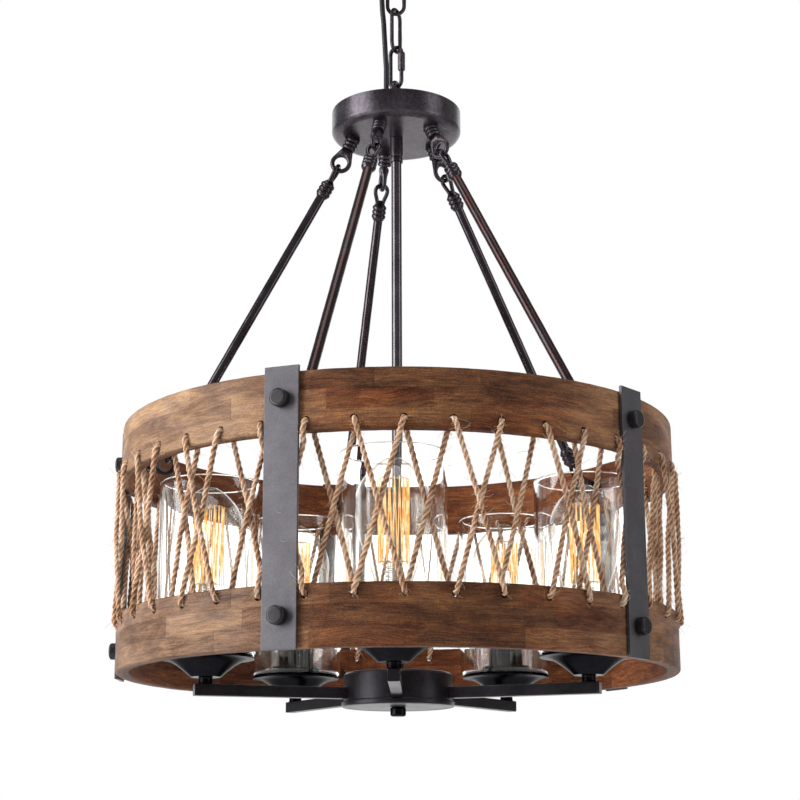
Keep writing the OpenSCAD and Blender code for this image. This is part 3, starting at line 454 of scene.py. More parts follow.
def jute(name):
    """Twisted plant fibre: pale strands, with painted shade as darker brown in the grooves between them."""
    f = Finish(name)
    groove_shade = f.field("Attribute", {"attribute_name": "groove_shade"}, socket="Fac")
    hair = f.noise(1300.0, 4.0, 0.7)
    patch = f.noise(60.0, 4.0, 0.65)
    # The groove value darkens the jute between the strands: painted shade in the grooves.
    tone = (0.76 + (hair - 0.5) * 1.9 + (patch - 0.5) * 1.4 - groove_shade * 0.52).held()
    colour = f.ramp(tone, (0.05, (0.15, 0.062, 0.028)), (0.95, (0.92, 0.76, 0.58)),
                    (0.32, (0.39, 0.195, 0.105)), (0.62, (0.69, 0.455, 0.305)))
    return f.surfaced(base_color=colour, roughness=0.9, specular_ior_level=0.2,
                      normal=f.relief(hair, 0.8, 0.6))


def moulded(name, colour, rough, gloss=0.5):
    """Plastic or rubber with a fine grain."""
    f = Finish(name)
    grain = f.noise(1500.0, 3.0, 0.6)
    cloud = f.noise(60.0, 3.0, 0.5)
    tone = f.mixed(((grain - 0.5) * 0.12 + (cloud - 0.5) * 0.5 + 0.5).held(),
                   tuple(c * 0.7 for c in colour), tuple(min(1.0, c * 1.3) for c in colour))
    return f.surfaced(base_color=tone, roughness=rough + (grain - 0.5) * 0.15, specular_ior_level=gloss,
                      normal=f.relief(grain, 0.2, 0.1))


def bare_metal(name, colour, rough):
    """Plated or bare metal with fine draw marks."""
    f = Finish(name)
    x, y, z = f.split(f.here)
    marks = f.noise(1.0, 3.0, 0.6, f.joined(x * 300.0, y * 300.0, z * 2600.0))
    cloud = f.noise(90.0, 3.0, 0.6)
    tone = f.mixed(((marks + cloud - 1.0) * 1.4 + 0.5).held(), tuple(c * 0.72 for c in colour), colour)
    return f.surfaced(base_color=tone, metallic=1.0, roughness=rough + (cloud - 0.5) * 0.2,
                      normal=f.relief(marks, 0.15, 0.1))


def clear_glass(name):
    f = Finish(name)
    smear = f.noise(26.0, 4.0, 0.6)
    return f.surfaced(base_color=(0.975, 0.982, 0.98), transmission_weight=1.0, ior=1.45,
                      roughness=((smear - 0.55) * 0.1).held(),
                      normal=f.relief(f.noise(40.0, 2.0), 0.02, 0.2))


def bulb_glass(name):
    """Thin blown glass with a light amber tint, fuller where it is seen at a slant."""
    f = Finish(name)
    slant = f.field("LayerWeight", None, {"Blend": 0.5}, "Facing")
    clear = f.field("BsdfTransparent", None, {"Color": (0.998, 0.99, 0.965)})
    deep = f.field("BsdfTransparent", None, {"Color": (0.5, 0.42, 0.34)})
    tint = f.blended((slant ** 2.2 * 0.9 + f.noise(30.0) * 0.04).held(), clear, deep)
    gloss = f.field("BsdfGlossy", None, {"Color": (1.0, 1.0, 1.0), "Roughness": 0.03})
    return f.done(f.blended((slant ** 4.0 * 0.85 + 0.045).held(), tint, gloss))


def glowing(name, deep, bright, strength):
    f = Finish(name)
    flicker = f.noise(130.0, 3.0, 0.6)
    tone = f.mixed(((flicker - 0.4) * 4.6).held(), deep, bright)
    return f.surfaced(base_color=(0.3, 0.12, 0.03), roughness=0.5, emission_color=tone,
                      emission_strength=strength, normal=f.relief(flicker, 0.1, 0.1))


BRONZE = aged_metal("aged bronze", (0.014, 0.012, 0.017), (0.145, 0.133, 0.155), (0.042, 0.018, 0.019),
                    0.3, 0.3, 0.85, 760.0)
PIPE_STEEL = aged_metal("browned pipe", (0.055, 0.048, 0.056), (0.15, 0.136, 0.15), (0.056, 0.036, 0.036),
                        0.2, 0.16, 0.85, pits=0.05)
DARK_BRONZE = aged_metal("dark rod bronze", (0.03, 0.025, 0.03), (0.095, 0.082, 0.094), (0.05, 0.022, 0.02),
                         0.2, 0.15, 0.9, pits=0.05)
ROD_BRONZE = aged_metal("rubbed rod bronze", (0.018, 0.014, 0.016), (0.066, 0.054, 0.06),
                        (0.066, 0.021, 0.016), 0.42, 0.24, 0.85, 640.0)
BLACK_METAL = aged_metal("satin black metal", (0.004, 0.004, 0.006), (0.017, 0.016, 0.02),
                         (0.022, 0.018, 0.018), 0.1, 0.25, 0.95, edge=0.5)
ARM_METAL = aged_metal("black arm metal", (0.012, 0.011, 0.013), (0.046, 0.043, 0.05), (0.035, 0.03, 0.03),
                       0.1, 0.36)
STRAP_IRON = aged_metal("strap iron", (0.075, 0.071, 0.08), (0.15, 0.143, 0.158), (0.06, 0.055, 0.06), 0.2,
                        0.44, 0.7, 1300.0)
BOLT_IRON = aged_metal("bolt iron", (0.018, 0.017, 0.02), (0.06, 0.057, 0.064), (0.05, 0.035, 0.03), 0.2,
                       0.32)
ZINC = bare_metal("zinc plate", (0.62, 0.62, 0.6), 0.34)
BRASS = bare_metal("screw base brass", (0.78, 0.6, 0.34), 0.3)
UPPER_WOOD = weathered_wood("upper ring wood", -570.0, 1.7)
# The last value paints shade over the lower ring's lit left side.
LOWER_WOOD = weathered_wood("lower ring wood", -740.0, 5.3, 0.16)
JUTE = jute("jute")
GLASS = clear_glass("clear glass")
BULB_GLASS = bulb_glass("amber bulb glass")
GLOW = glowing("glowing filament", (0.82, 0.33, 0.02), (1.0, 0.8, 0.38), 1.12)
BLACK_PLASTIC = moulded("black phenolic", (0.006, 0.006, 0.007), 0.2, 0.22)
CORD_SHEATH = moulded("cord sheath", (0.009, 0.008, 0.013), 0.42)
LEAD_SHEATH = moulded("lead sheath", (0.7, 0.68, 0.6), 0.5)
ORANGE_PLASTIC = moulded("connector plastic", (0.75, 0.22, 0.03), 0.45)


# Sizes shared with the CAD, in millimetres

STRAPS = [-21.3 + 72 * i for i in range(5)]
LAMPS = [-1.1 + 72 * i for i in range(5)]
CEILING_EYE, LINK_1, LINK_2, SCREW_LINK, HUB_EYE = -45.3, -72.0, -112.1, -151.0, -176.5
LOOP_R, LOOP_WIRE = 9, 4.4
HUB_TOP, HUB_BOTTOM = -200.0, -225.0
CUP_TOP, CUP_BOTTOM, CUP_R = -737.0, -762.0, 48.5
ARM_TOP, LAMP_R, STEM_TOP = -750.5, 174.0, -744.5
DRUM_BOTTOM, RING_H, BAND_H, DRUM_R, INNER_R = -740.0, 50.0, 120.0, 250.0, 238.0
UPPER_BOTTOM = DRUM_BOTTOM + RING_H + BAND_H
BOLT_UP, BOLT_LOW = UPPER_BOTTOM + 27.0, DRUM_BOTTOM + 25.0
HOOK_SEAT_R, HOOK_R, HOOK_DROP, EYE_R = 41.5, 53.5, 24.0, 215.0
ROD_PIVOT, ROD_END_L, STRAP_FRONT = 8.2, 28.0, 253.1
SHADE_BOTTOM, SHADE_H, SHADE_R, GLASS_T = -727.5, 154.0, 44.0, 3.0
BASE_TOP, BULB_TOP = -692.0, -576.5


# Power cord, in four lengths along the chain

CORD_X = [-16, -16, -16, -15.5, -15, -14, -13.5, -13, -12, -11.5, -11, -10.5, -10] + [-9.5] * 6
CORD_Y = [-4] * 12 + [-4.5] * 3 + [-5] * 4
CORD_ROUTE = [(x, y, -24 - 10 * k) for k, (x, y) in enumerate(zip(CORD_X, CORD_Y))]


def power_cord():
    parts = [("ceiling", "link_1", 0, 5), ("link_1", "link_2", 5, 9), ("link_2", "screw_link", 9, 13),
             ("screw_link", "frame", 13, 18)]
    line, per_knot, reach = smooth_line(CORD_ROUTE, 2.0), 5, 0.16
    for number, (first, second, start, end) in enumerate(parts, 1):
        path = line[start * per_knot:end * per_knot + 1]
        length = sum((path[k + 1] - path[k]).length for k in range(len(path) - 1))
        form = Form().swept(path, circle(2.5, 16), start=(1, 0, 0))
        piece = made(form, f"cord_length_{number}", CORD_SHEATH, None, "power_cord", "cord_sheath")
        low, high = path[-1] * MM, path[0] * MM
        [tuple(p * MM) for p in path]
        tuple(high.lerp(low, 1 - reach))
        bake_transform(piece)


power_cord()


# Ceiling fitting

def dish(radius, height, wall, corner, hole):
    """Outline of a pressed pan with a hole in its floor."""
    return ([(hole, 0)] + arc(radius - corner, corner, corner, -90, 0)
            + [(radius, height), (radius - wall, height)]
            + arc(radius - corner, corner, corner - wall, 0, -90) + [(hole, wall)])


def ceiling_fitting():
    canopy = dish(62.5, 26, 1.5, 12, 4.9)
    lathed(canopy, 0.5, 128, -26, "canopy_shell", BRONZE, "ceiling", "canopy", "bronze")
    screws = Form()
    knob = [(0, -31), (2.6, -31), (4.3, -30), (5, -28.5), (5, -27.6), (4.4, -26.6), (3.4, -26.05), (2, -26),
            (2, -1), (0, -1)]
    for side in (-48, 48):
        screws.turned(eased(knob, 0.5), 32, shift(side, 0, 0),
                      lambda s, r: r * (0.965 if s % 2 and r > 4 else 1))
    made(screws, "canopy_knobs", BRONZE, "ceiling", "canopy_screws", "bronze")
    eye = Form().ring(LOOP_R, LOOP_WIRE, shift(0, 0, CEILING_EYE) @ spin(90) @ spin(90, "X"))
    stub = [(0, -36.2), (3.4, -36.2), (5.2, -35), (7.2, -35), (8, -34), (8, -27.4), (7.4, -26.4), (5, -26),
            (5, -29), (0, -29)]
    eye.turned(eased(stub, 0.6), 48)
    made(eye, "ceiling_loop", BRONZE, "ceiling", "ceiling_eye", "bronze")


def bushing(name, node, body, x, y, face, up):
    outline = [(2.6, 0), (3.5, 0), (3.5, 3), (4.5, 3), (4.5, 4.6), (4.0, 5.3), (2.8, 5.5), (2.6, 5.2)]
    place = shift(x, y, face - 3) if up else shift(x, y, face + 3) @ spin(180, "X")
    made(Form().turned(eased(outline, 0.3, 2), 32, place), name, BLACK_PLASTIC, body, node, "black_plastic")


ceiling_fitting()
bushing("canopy_grommet", "canopy_bushing", "ceiling", -16, -4, -26, False)
bushing("hub_grommet", "hub_bushing", "frame", -9.5, -5, -200, True)


# Chain

def six_sided(beyond, depth):
    """A swell that gives 48 sides six flats where the radius is larger than beyond."""
    return lambda s, r: r * (1 - depth + depth * abs(cos(radians(s * 7.5 * 3)))) if r > beyond else r


def link_path(length, width, wire, steps=14):
    r = (width - wire) / 2
    leg = (length - wire) / 2 - r
    top = [(x, 0, z) for x, z in arc(0, leg, r, 0, 180, steps)]
    bottom = [(-x, 0, -z) for x, _, z in top]
    left = [(-r, 0, leg * (1 - k / 3)) for k in range(1, 6)]
    right = [(r, 0, -leg * (1 - k / 3)) for k in range(1, 6)]
    return top + left + bottom + right


def chain():
    path, wire = link_path(48, 20, 3.8), circle(1.9, 16)
    weld = [1.0 + 0.09 * exp(-((k - 36.0) / 0.9) ** 2) for k in range(len(path))]
    for name, place, number in (("upper_link", shift(0, 0, LINK_1), 1),
                                ("lower_link", shift(0, 0, LINK_2) @ spin(61), 2)):
        made(Form().swept(path, wire, True, weld, place=place), name, BRONZE, f"link_{number}",
             f"chain_link_{number}", "bronze")
    turn = shift(0, 0, SCREW_LINK) @ spin(-36)
    r, leg = 6.5, 14.5
    bow = [(x, 0, z) for x, z in arc(0, leg, r, 0, 180, 14)]
    loop = [(r, 0, 11.5), (r, 0, 13.0)] + bow
    loop += [(-r, 0, leg - 2 * leg * k / 8) for k in range(1, 8)] + [(-x, 0, -z) for x, _, z in bow]
    loop += [(r, 0, z) for z in (-12.5, -10, -7, -4, -1, 1.5, 2.5)]
    made(Form().swept(loop, circle(2.0, 16), place=turn), "screw_link_wire", BRONZE, "screw_link",
         "quick_link", "bronze")
    nut = [(2.1, -4.7), (2.9, -4.7), (3.6, -4.0), (3.75, -3.2), (3.75, 12.8), (3.6, 13.6), (2.9, 14.3),
           (2.1, 14.3)]
    made(Form().turned(nut, 48, turn @ shift(r, 0, 0), six_sided(3, 0.1)), "screw_link_nut", BRONZE,
         "screw_sleeve", "quick_link_sleeve", "bronze")


chain()


# Forged eyes: a ring that swells into a ribbed collar

def ribs(outer, length, count=3, rise=0.9):
    """Right half of a ribbed collar, from z = 0 down."""
    step = length / count
    side = []
    for k in range(count):
        top = -k * step
        side += [(outer - d, top - t * step) for d, t in
                 ((rise, 0.03), (0.3, 0.16), (0, 0.36), (0, 0.64), (0.3, 0.84), (rise, 0.97))]
    return [(0, 0)] + side + [(outer - rise, -length), (0, -length)]


def forged_eye(form, place, reach, hole=6.05, wire=4.3, neck=5.2, thick=4.2):
    """A round eye at the origin of place, in its XZ plane, that swells towards a collar at z = reach."""
    rim = hole + wire
    lean = degrees(acos(min(1.0, rim / hypot(neck, reach))))
    point = degrees(atan2(neck, reach))
    sides, around, points = 56, 14, []
    for s in range(sides):
        angle = 360.0 * s / sides
        away = min(angle, 360.0 - angle)
        if away < point:
            outer = reach / cos(radians(away))
        elif away < point + lean:
            outer = rim / cos(radians(point + lean - away))
        else:
            outer = rim
        share = max(0.0, (outer - rim) / (reach - rim))
        half, mid = (outer - hole) / 2, (outer + hole) / 2
        flat = wire / 2 + (thick - wire / 2) * share ** 0.7
        d = Vector((sin(radians(angle)), 0, cos(radians(angle))))
        for k in range(around):
            a = 2 * pi * k / around
            points.append(d * (mid + half * cos(a)) + Vector((0, flat * sin(a), 0)))
    form.add(points, wrapped(sides, around), place)


def hub_hooks():
    form = Form()
    out = HOOK_R - HOOK_SEAT_R
    lean, reach = degrees(atan2(out, HOOK_DROP)), hypot(out, HOOK_DROP)
    for az in STRAPS:
        root = seat(az, HOOK_SEAT_R, HUB_BOTTOM)
        base = root @ spin(-lean, "X")
        form.turned(eased(ribs(6.8, 12.0), 0.12, 2), 32, base)
        form.turned(eased([(0, 3.2), (5.6, 3.2), (7.3, -0.8), (5.6, -1.4), (0, -1.4)], 0.3, 2), 32, base)
        ring = seat(az, HOOK_R, HUB_BOTTOM - HOOK_DROP) @ spin(-lean, "X") @ spin(90)
        forged_eye(form, ring, reach - 11.3)
        form.turned([(0, -3), (2.5, -3), (2.5, 8.5), (2.1, 8.9), (0, 8.9)], 24, root)
    made(form, "hook_forgings", BRONZE, "frame", "hub_hooks", "bronze")


def drum_eyes():
    form = Form()
    for az in STRAPS:
        ring = seat(az, EYE_R, BOLT_UP) @ spin(90, "X") @ spin(90)
        forged_eye(form, ring, INNER_R - EYE_R - 7.4)
        collar = seat(az, INNER_R - 0.05, BOLT_UP) @ spin(90, "X")
        form.turned(eased(ribs(7.0, 8.0, 2), 0.12, 2), 32, collar)
    made(form, "eye_forgings", BOLT_IRON, "drum", "drum_eyes", "bolt_iron")


def rod_loop(form, place, gap):
    """The pear-shaped loop, ribbed collar and neck at a rod's end: pivot at the origin, rod towards -Z."""
    eye_wire, loop_wire, bend_r = 2.15, 2.0, 6.0
    turn_z = eye_wire + loop_wire + gap - bend_r
    bend = [(x, 0, z) for x, z in arc(0, turn_z, bend_r, 0, 180, 15)]
    right = [(2.3, 0, -17.0), (2.7, 0, -14.0), (3.9, 0, -9.5), (5.3, 0, -5.5), (5.95, 0, turn_z - 1.2)]
    path = right + bend + [(-x, y, z) for x, y, z in reversed(right)]
    form.swept(smooth_line(path, 1.0), circle(loop_wire, 14), place=place, start=(0, 1, 0))
    neck = [(0, -10.6), (1.6, -10.8), (3.4, -12.6), (4.9, -14.6), (6.0, -16.2), (6.0, -17.2), (0, -17.2)]
    form.turned(eased(neck, 0.4), 28, place)
    form.turned(eased(ribs(7.0, 13.0), 0.12, 2), 32, place @ shift(0, 0, -16.0))
    form.turned(eased([(0, -28.9), (6.2, -28.9), (5.4, -30.6), (4.5, -31.4), (0, -31.4)], 0.4), 28, place)


def rods():
    run, fall = EYE_R - HOOK_R, HUB_BOTTOM - HOOK_DROP - BOLT_UP
    lean = degrees(atan2(run, fall))
    span = hypot(run, fall)
    for i, az in enumerate(STRAPS):
        form = Form()
        line = seat(az, HOOK_R, HUB_BOTTOM - HOOK_DROP) @ spin(-lean, "X")
        rod_loop(form, line @ shift(0, 0, -ROD_PIVOT), 0.3)
        rod_loop(form, line @ shift(0, 0, ROD_PIVOT - span) @ spin(180, "X"), 0.8)
        top, low = -ROD_PIVOT - ROD_END_L, ROD_PIVOT - span + ROD_END_L
        heights = [top + (low - top) * k / 40 for k in range(41)]
        dice = random.Random(40 + i)
        path = [(dice.uniform(-0.05, 0.05), dice.uniform(-0.05, 0.05), h) for h in heights]
        bar = Form().swept(path, circle(4.5, 24), place=line, start=(1, 0, 0))
        made(bar, f"hanging_rod_{i + 1}", ROD_BRONZE if i < 2 else DARK_BRONZE, f"rod_{i + 1}_body",
             f"rod_{i + 1}", "rod_iron")
        made(form, f"rod_ends_{i + 1}", DARK_BRONZE, f"rod_{i + 1}_body", None, "rod_iron")


hub_hooks()
drum_eyes()
rods()


# Hub, centre pipe and wiring cup

def hub():
    shell = [(4.9, 0), (54.5, 0), (58.0, 0.7), (60.2, 2.2), (61.6, 4.3), (62, 5.4), (62, 25), (60.5, 25),
             (60.5, 6.2), (59.6, 4.4), (57.8, 2.5), (54.5, 1.5), (4.9, 1.5)]
    lathed(shell, 0.5, 144, HUB_BOTTOM, "hub_shell", BRONZE, "frame", "hub_pan", "bronze")
    plate = [(4.9, -1.5), (60.4, -1.5), (60.4, 0), (4.9, 0)]
    lathed(plate, 0.4, 144, HUB_TOP, "hub_top_plate", BRONZE, "frame", "hub_cover", "bronze")
    form = Form().ring(LOOP_R, LOOP_WIRE, shift(0, 0, HUB_EYE) @ spin(68) @ spin(90, "X"))
    stub = [(0, 13.6), (2.4, 13.4), (4.0, 12.0), (5.7, 10.4), (5.7, 2.2), (7.4, 1.6), (7.6, 0.2), (5.0, 0),
            (4.9, 9.5), (0, 9.5)]
    form.turned(eased(stub, 0.5), 48, shift(0, 0, HUB_TOP))
    made(form, "hub_loop", BRONZE, "frame", "hub_eye", "bronze")
    collar = [(5.1, 0), (6.3, 0), (6.3, 4.8), (5.8, 5.2), (5.8, 6.2), (6.3, 6.6), (6.3, 25), (5.1, 25)]
    lathed(collar, 0.35, 48, HUB_BOTTOM - 25, "pipe_sleeve", BRONZE, "frame", "pipe_collar", "bronze")
    pipe_top, pipe_end = -234.5, -746.5
    pipe = [(3.9, pipe_end), (5, pipe_end), (5, pipe_top), (3.9, pipe_top)]
    lathed(pipe, 0.3, 48, 0, "centre_tube", PIPE_STEEL, "frame", "centre_pipe", "bronze")


def wiring_cup():
    shell = [(r, -h) for r, h in dish(CUP_R, 25, 1.5, 3, 5.1)]
    lathed(shell, 0.4, 128, CUP_TOP, "wiring_cup_shell", ARM_METAL, "frame", "wiring_cup", "black_metal")
    lid = [(3.3, -5), (44, -5), (45, -4.6), (46, -5), (49.6, -5), (50.5, -4.1), (50.5, -0.8), (49.8, 0),
           (46.9, 0), (46.9, 1.3), (45.4, 1.3), (45.4, -3.5), (3.3, -3.5)]
    lathed(lid, 0.5, 128, CUP_BOTTOM, "wiring_cup_lid", ARM_METAL, "frame", "cup_lid", "black_metal")
    tip = [(0, -8), (5.6, -8), (6.7, -7.2), (7, -6.2), (7, -1.2), (6.4, -0.3), (3, 0), (3, 10), (0, 10)]
    lathed(tip, 0.6, 48, CUP_BOTTOM - 5, "finial_knob", BLACK_METAL, "frame", "finial", "black_metal",
           steps=3)


hub()
wiring_cup()


# Arms and lamps

def rounded_square(half, ease, steps=3):
    corners = [(half, half), (-half, half), (-half, -half), (half, -half)]
    out = []
    for (cx, cy), start in zip(corners, (0, 90, 180, 270)):
        mx, my = cx - copysign(ease, cx), cy - copysign(ease, cy)
        out += arc(mx, my, ease, start, start + 90, steps)
    return out


def arms():
    form = Form()
    half = 5.0
    stations = [(44.5, 0.9), (45.0, 1.0), (181.6, 1.0), (181.9, 0.965), (182.2, 0.965), (182.5, 1.0),
                (183.5, 1.0), (183.9, 0.97), (184.0, 0.92)]
    path = [(0, -r, ARM_TOP - half) for r, _ in stations]
    for az in LAMPS:
        form.swept(path, rounded_square(half, 0.8), sizes=[s for _, s in stations], place=spin(az),
                   start=(1, 0, 0))
    made(form, "arm_tubes", ARM_METAL, "frame", "arms", "black_metal", 40)


def flare(t):
    """Radius and height of the cup's outside, for t from its floor to its rim."""
    return 13 + 29 * t ** 1.12, 15.5 * sin(radians(90 * t)) ** 1.12


def lamp_holders():
    stems, cups = Form(), Form()
    stem = [(2.2, 0), (6.3, 0), (6.3, 0.8), (5.9, 1.2), (5.9, 4.6), (6.3, 5.2), (6.3, 6), (2.2, 6)]
    outer = [flare(k / 26) for k in range(27)]
    inner = [(r - 0.4, h + 1.5) for r, h in reversed(outer[:-2])]
    lip = [(42, 16.2), (41.6, 17), (37.2, 17), (37, 16.4), (37, 15.5)]
    cup = [(3, 0), (12.4, 0)] + outer + lip + inner + [(3, 1.5)]
    for az in LAMPS:
        stems.turned(eased(stem, 0.3, 2), 40, seat(az, LAMP_R, ARM_TOP))
        cups.turned(cup, 96, seat(az, LAMP_R, STEM_TOP))
    made(stems, "stem_tubes", BLACK_METAL, "frame", "lamp_stems", "black_metal")
    made(cups, "flared_cups", BLACK_METAL, "frame", "lamp_cups", "black_metal", 40)


def sockets():
    form, nuts = Form(), Form()
    body = [(2, 0), (10.6, 0), (11, 0.5), (11, 3.5), (16.5, 9)]
    for k in range(12):
        z = 10 + k * 2.4
        body += [(16.5, z + 0.3), (16.5, z + 0.9), (15.8, z + 1.4), (15.8, z + 2.0)]
    body += [(15.8, 46.2), (15.2, 47), (14.1, 47), (13.5, 46.4), (13.5, 20.5), (2, 20.5), (2, 0)]
    ring = [(16.6, 0), (22.6, 0), (23, 0.6), (23, 6.2), (22.3, 7), (17.4, 7), (16.6, 6.4)]
    for az in LAMPS:
        form.turned(body, 56, seat(az, LAMP_R, STEM_TOP + 1.5))
        nuts.turned(eased(ring, 0.3, 2), 96, seat(az, LAMP_R, SHADE_BOTTOM + GLASS_T),
                    lambda s, r: r - (0.7 if s % 6 in (0, 1) and r > 22 else 0))
    made(form, "threaded_sockets", BLACK_PLASTIC, "frame", "sockets", "black_plastic")
    made(nuts, "notched_ring_nuts", BLACK_PLASTIC, "frame", "ring_nuts", "black_plastic")


def shades():
    outline = dish(SHADE_R, SHADE_H, GLASS_T, 6, 17.1)
    rim = len(outline) // 2
    outline[rim - 1:rim + 1] = arc(SHADE_R - 1.5, SHADE_H - 1.5, 1.5, 0, 180, 8)
    for i, az in enumerate(LAMPS, 1):
        made(Form().turned(outline, 112, seat(az, LAMP_R, SHADE_BOTTOM)), f"glass_cylinder_{i}", GLASS,
             "frame", f"shade_{i}", "clear_glass", 50)


def bulb_radius(t):
    """The glass's radius for t from its neck to its tip: widest at the belly."""
    neck, wide, belly = 12.6, 32, 0.64
    if t < belly:
        return neck + (wide - neck) * sin(radians(90 * t / belly)) ** 1.35
    return wide * max(0.0, cos(radians(90 * (t - belly) / (1 - belly)))) ** 0.62


def raised(away, radius, z):
    return away * radius + Vector((0, 0, z))


def bulbs():
    glass_l = BULB_TOP - BASE_TOP
    side = [(bulb_radius(k / 48), glass_l * k / 48) for k in range(48)]
    tip = [(r, h) for r, h in side if r > 6.5 or h < 50]
    last_r, last_h = tip[-1]
    tip.append((last_r * 0.62, last_h + 0.275 * (glass_l - last_h)))
    tip += [(r, glass_l - drop) for r, drop in ((3.2, 2.4), (2.2, 1.2), (1.0, 0.3), (0, 0))]
    outline = [(0, -0.6), (12.2, -0.6)] + tip
    thread = [(0, -28.5), (4.5, -28.5), (4.5, -27.6), (9.5, -25.8), (11.6, -25)]
    for k in range(7):
        z = -24.4 + k * 2.9
        thread += [(11.9, z), (12.7, z + 0.7), (13.0, z + 1.45), (12.7, z + 2.2)]
    thread += [(11.9, -4.0), (12.6, -3.4), (12.9, -2.6), (12.9, 0.4), (12.6, 0.8), (0, 0.8)]
    stem = [(0, 0.5), (10.5, 0.5), (9, 3.5), (5.8, 8), (4.2, 12), (3.8, 22), (4.6, 26), (4.2, 29), (2, 31),
            (1.3, 34), (1.2, 93), (2.2, 95), (2.4, 96.5), (1.6, 98), (0, 98.4)]
    cage_r, strands = 6.4, 38
    for i, az in enumerate(LAMPS, 1):
        body = f"lamp_bulb_{i}"
        neck = seat(az, LAMP_R, BASE_TOP)
        made(Form().turned(outline, 72, neck), f"bulb_envelope_{i}", BULB_GLASS, body, f"bulb_{i}",
             "bulb_glass", 60)
        made(Form().turned(thread, 48, neck), f"screw_base_{i}", BRASS, body, f"bulb_core_{i}", "brass")
        made(Form().turned(eased(stem, 0.5), 24, neck), f"bulb_mount_{i}", BULB_GLASS, body, None,
             "bulb_glass", 60)
        wires, glow = Form(), Form()
        for z, hooks, r in ((27.0, 13, 12.8), (96.2, 13, 12.6)):
            for k in range(hooks):
                a = 2 * pi * (k + (0.5 if z < 50 else 0.0)) / hooks
                d = Vector((cos(a), sin(a), 0))
                path = [Vector((0, 0, z)) + d * q + Vector((0, 0, 1.4 * sin(q / r * 3.0)))
                        for q in (0.6, r * 0.25, r * 0.5, r * 0.75, r)]
                wires.swept(path, circle(0.22, 6), place=neck)
        for z in (13.0, 16.5, 20.0, 23.5):
            wires.ring(cage_r, 0.7, neck @ shift(0, 0, z), 20, 6)
        for x, y in circle(cage_r, 8):
            wires.swept([(x, y, 12.7), (x, y, 23.8)], circle(0.3, 6), place=neck)
        for lead in (-1, 1):
            wires.swept([(lead * 2.4, 0, 20), (lead * 2.6, 0, 27), (lead * 7, 0, 31), (lead * 11.6, 0, 33)],
                        circle(0.3, 6), place=neck)
        made(wires, f"filament_holders_{i}", ZINC, body, None, "brass", 60)
        knots = []
        dice = random.Random(70 + i)
        for k in range(strands):
            a = 2 * pi * k / strands
            r = 13.0 + dice.uniform(-0.9, 0.9)
            d = Vector((cos(a), sin(a), 0))
            if k % 2:
                knots += [raised(d, r - 0.3, 95.0), raised(d, r, 96.6), raised(d, r - 0.2, 95.2)]
            else:
                knots += [raised(d, r, 28.4), raised(d, r + 0.2, 27.0), raised(d, r, 28.6)]
        glow.swept(smooth_line(knots, 3.0), circle(0.42, 6), place=neck)
        made(glow, f"filament_{i}", GLOW, body, None, "brass", 60)


arms()
lamp_holders()
sockets()
shades()
bulbs()


# Drum

def wood_ring(name, node, finish, bottom, hole_z):
    """A bent wood ring with eased, slightly worn edges and forty rope holes."""
    form = Form()
    hole_r, patch, nub, ease = 3.2, 4.6, 16, 2.4
    near = degrees(patch / DRUM_R)
    offsets = [-4.5, -3.6, -2.7, -1.8, -near, near, 1.8, 2.7, 3.6]
    low, high = bottom + ease, bottom + RING_H - ease
    even = [low + (high - low) * k / 8 for k in range(9)]
    rows = sorted([z for z in even if abs(z - hole_z) > patch + 1.2] + [hole_z - patch, hole_z + patch])
    under, over = rows.index(hole_z - patch), rows.index(hole_z + patch)
    dice = random.Random(int(-bottom))
    waves = [(dice.randrange(2, 60), dice.uniform(0, 6.28), dice.uniform(0.02, 0.09)) for _ in range(10)]
    angles = [STRAPS[0] - 4.5 + 9.0 * j + off for j in range(40) for off in offsets]
    n, m = len(angles), len(rows)

    def wave(az, turn=0.0):
        return sum(size * sin(k * radians(az) + phase + turn) for k, phase, size in waves)

    def wall(face, az, z):
        worn = 0.3 * wave(az, z * 0.07)
        return spot(az, DRUM_R - 0.15 + worn if face == "out" else INNER_R + 0.15 + worn, z)

    grids, rounds = {}, {"out": [], "in": []}
    for face in ("out", "in"):
        start = grids[face] = len(form.points)
        form.points += [wall(face, az, z) for az in angles for z in rows]
        for c in range(n):
            d = (c + 1) % n
            a, b = start + c * m, start + d * m
            hole = offsets[c % 9] == -near
            form.faces += [(a + r, b + r, b + r + 1, a + r + 1) for r in range(m - 1)
                           if not (hole and under <= r < over)]
            if not hole:
                continue
            first = len(form.points)
            rounds[face].append(first)
            for k in range(nub):
                turn = 2 * pi * k / nub
                az = angles[c] + near + degrees(hole_r * cos(turn) / DRUM_R)
                form.points.append(wall(face, az, hole_z + hole_r * sin(turn)))
            corners = [b + over, a + over, a + under, b + under]
            for q, corner in enumerate(corners):
                for k in range(4):
                    form.faces.append((corner, first + 4 * q + k, first + (4 * q + k + 1) % nub))
                form.faces.append((corner, first + (4 * q + 4) % nub, corners[(q + 1) % 4]))
    for a, b in zip(rounds["out"], rounds["in"]):
        form.faces += [(a + k, a + (k + 1) % nub, b + (k + 1) % nub, b + k) for k in range(nub)]
    for row, end, up in ((0, bottom, -1), (m - 1, bottom + RING_H, 1)):
        loops = [[grids["out"] + c * m + row for c in range(n)]]
        for k in range(1, 9):
            turn = radians(90 * min(k, 9 - k) / 4)
            inset, rise = 2.0 * (1 - cos(turn)), ease * sin(turn)
            radius = DRUM_R - 0.15 - inset if k < 5 else INNER_R + 0.15 + inset
            first = len(form.points)
            form.points += [spot(az, radius, end - up * (ease - rise + abs(wave(az * 2, k)) * sin(turn)))
                            for az in angles]
            loops.append([first + c for c in range(n)])
        loops.append([grids["in"] + c * m + row for c in range(n)])
        for one, two in zip(loops, loops[1:]):
            form.faces += [(one[c], one[(c + 1) % n], two[(c + 1) % n], two[c]) for c in range(n)]
    made(form, name, finish, "drum", node, "aged_wood", 50)


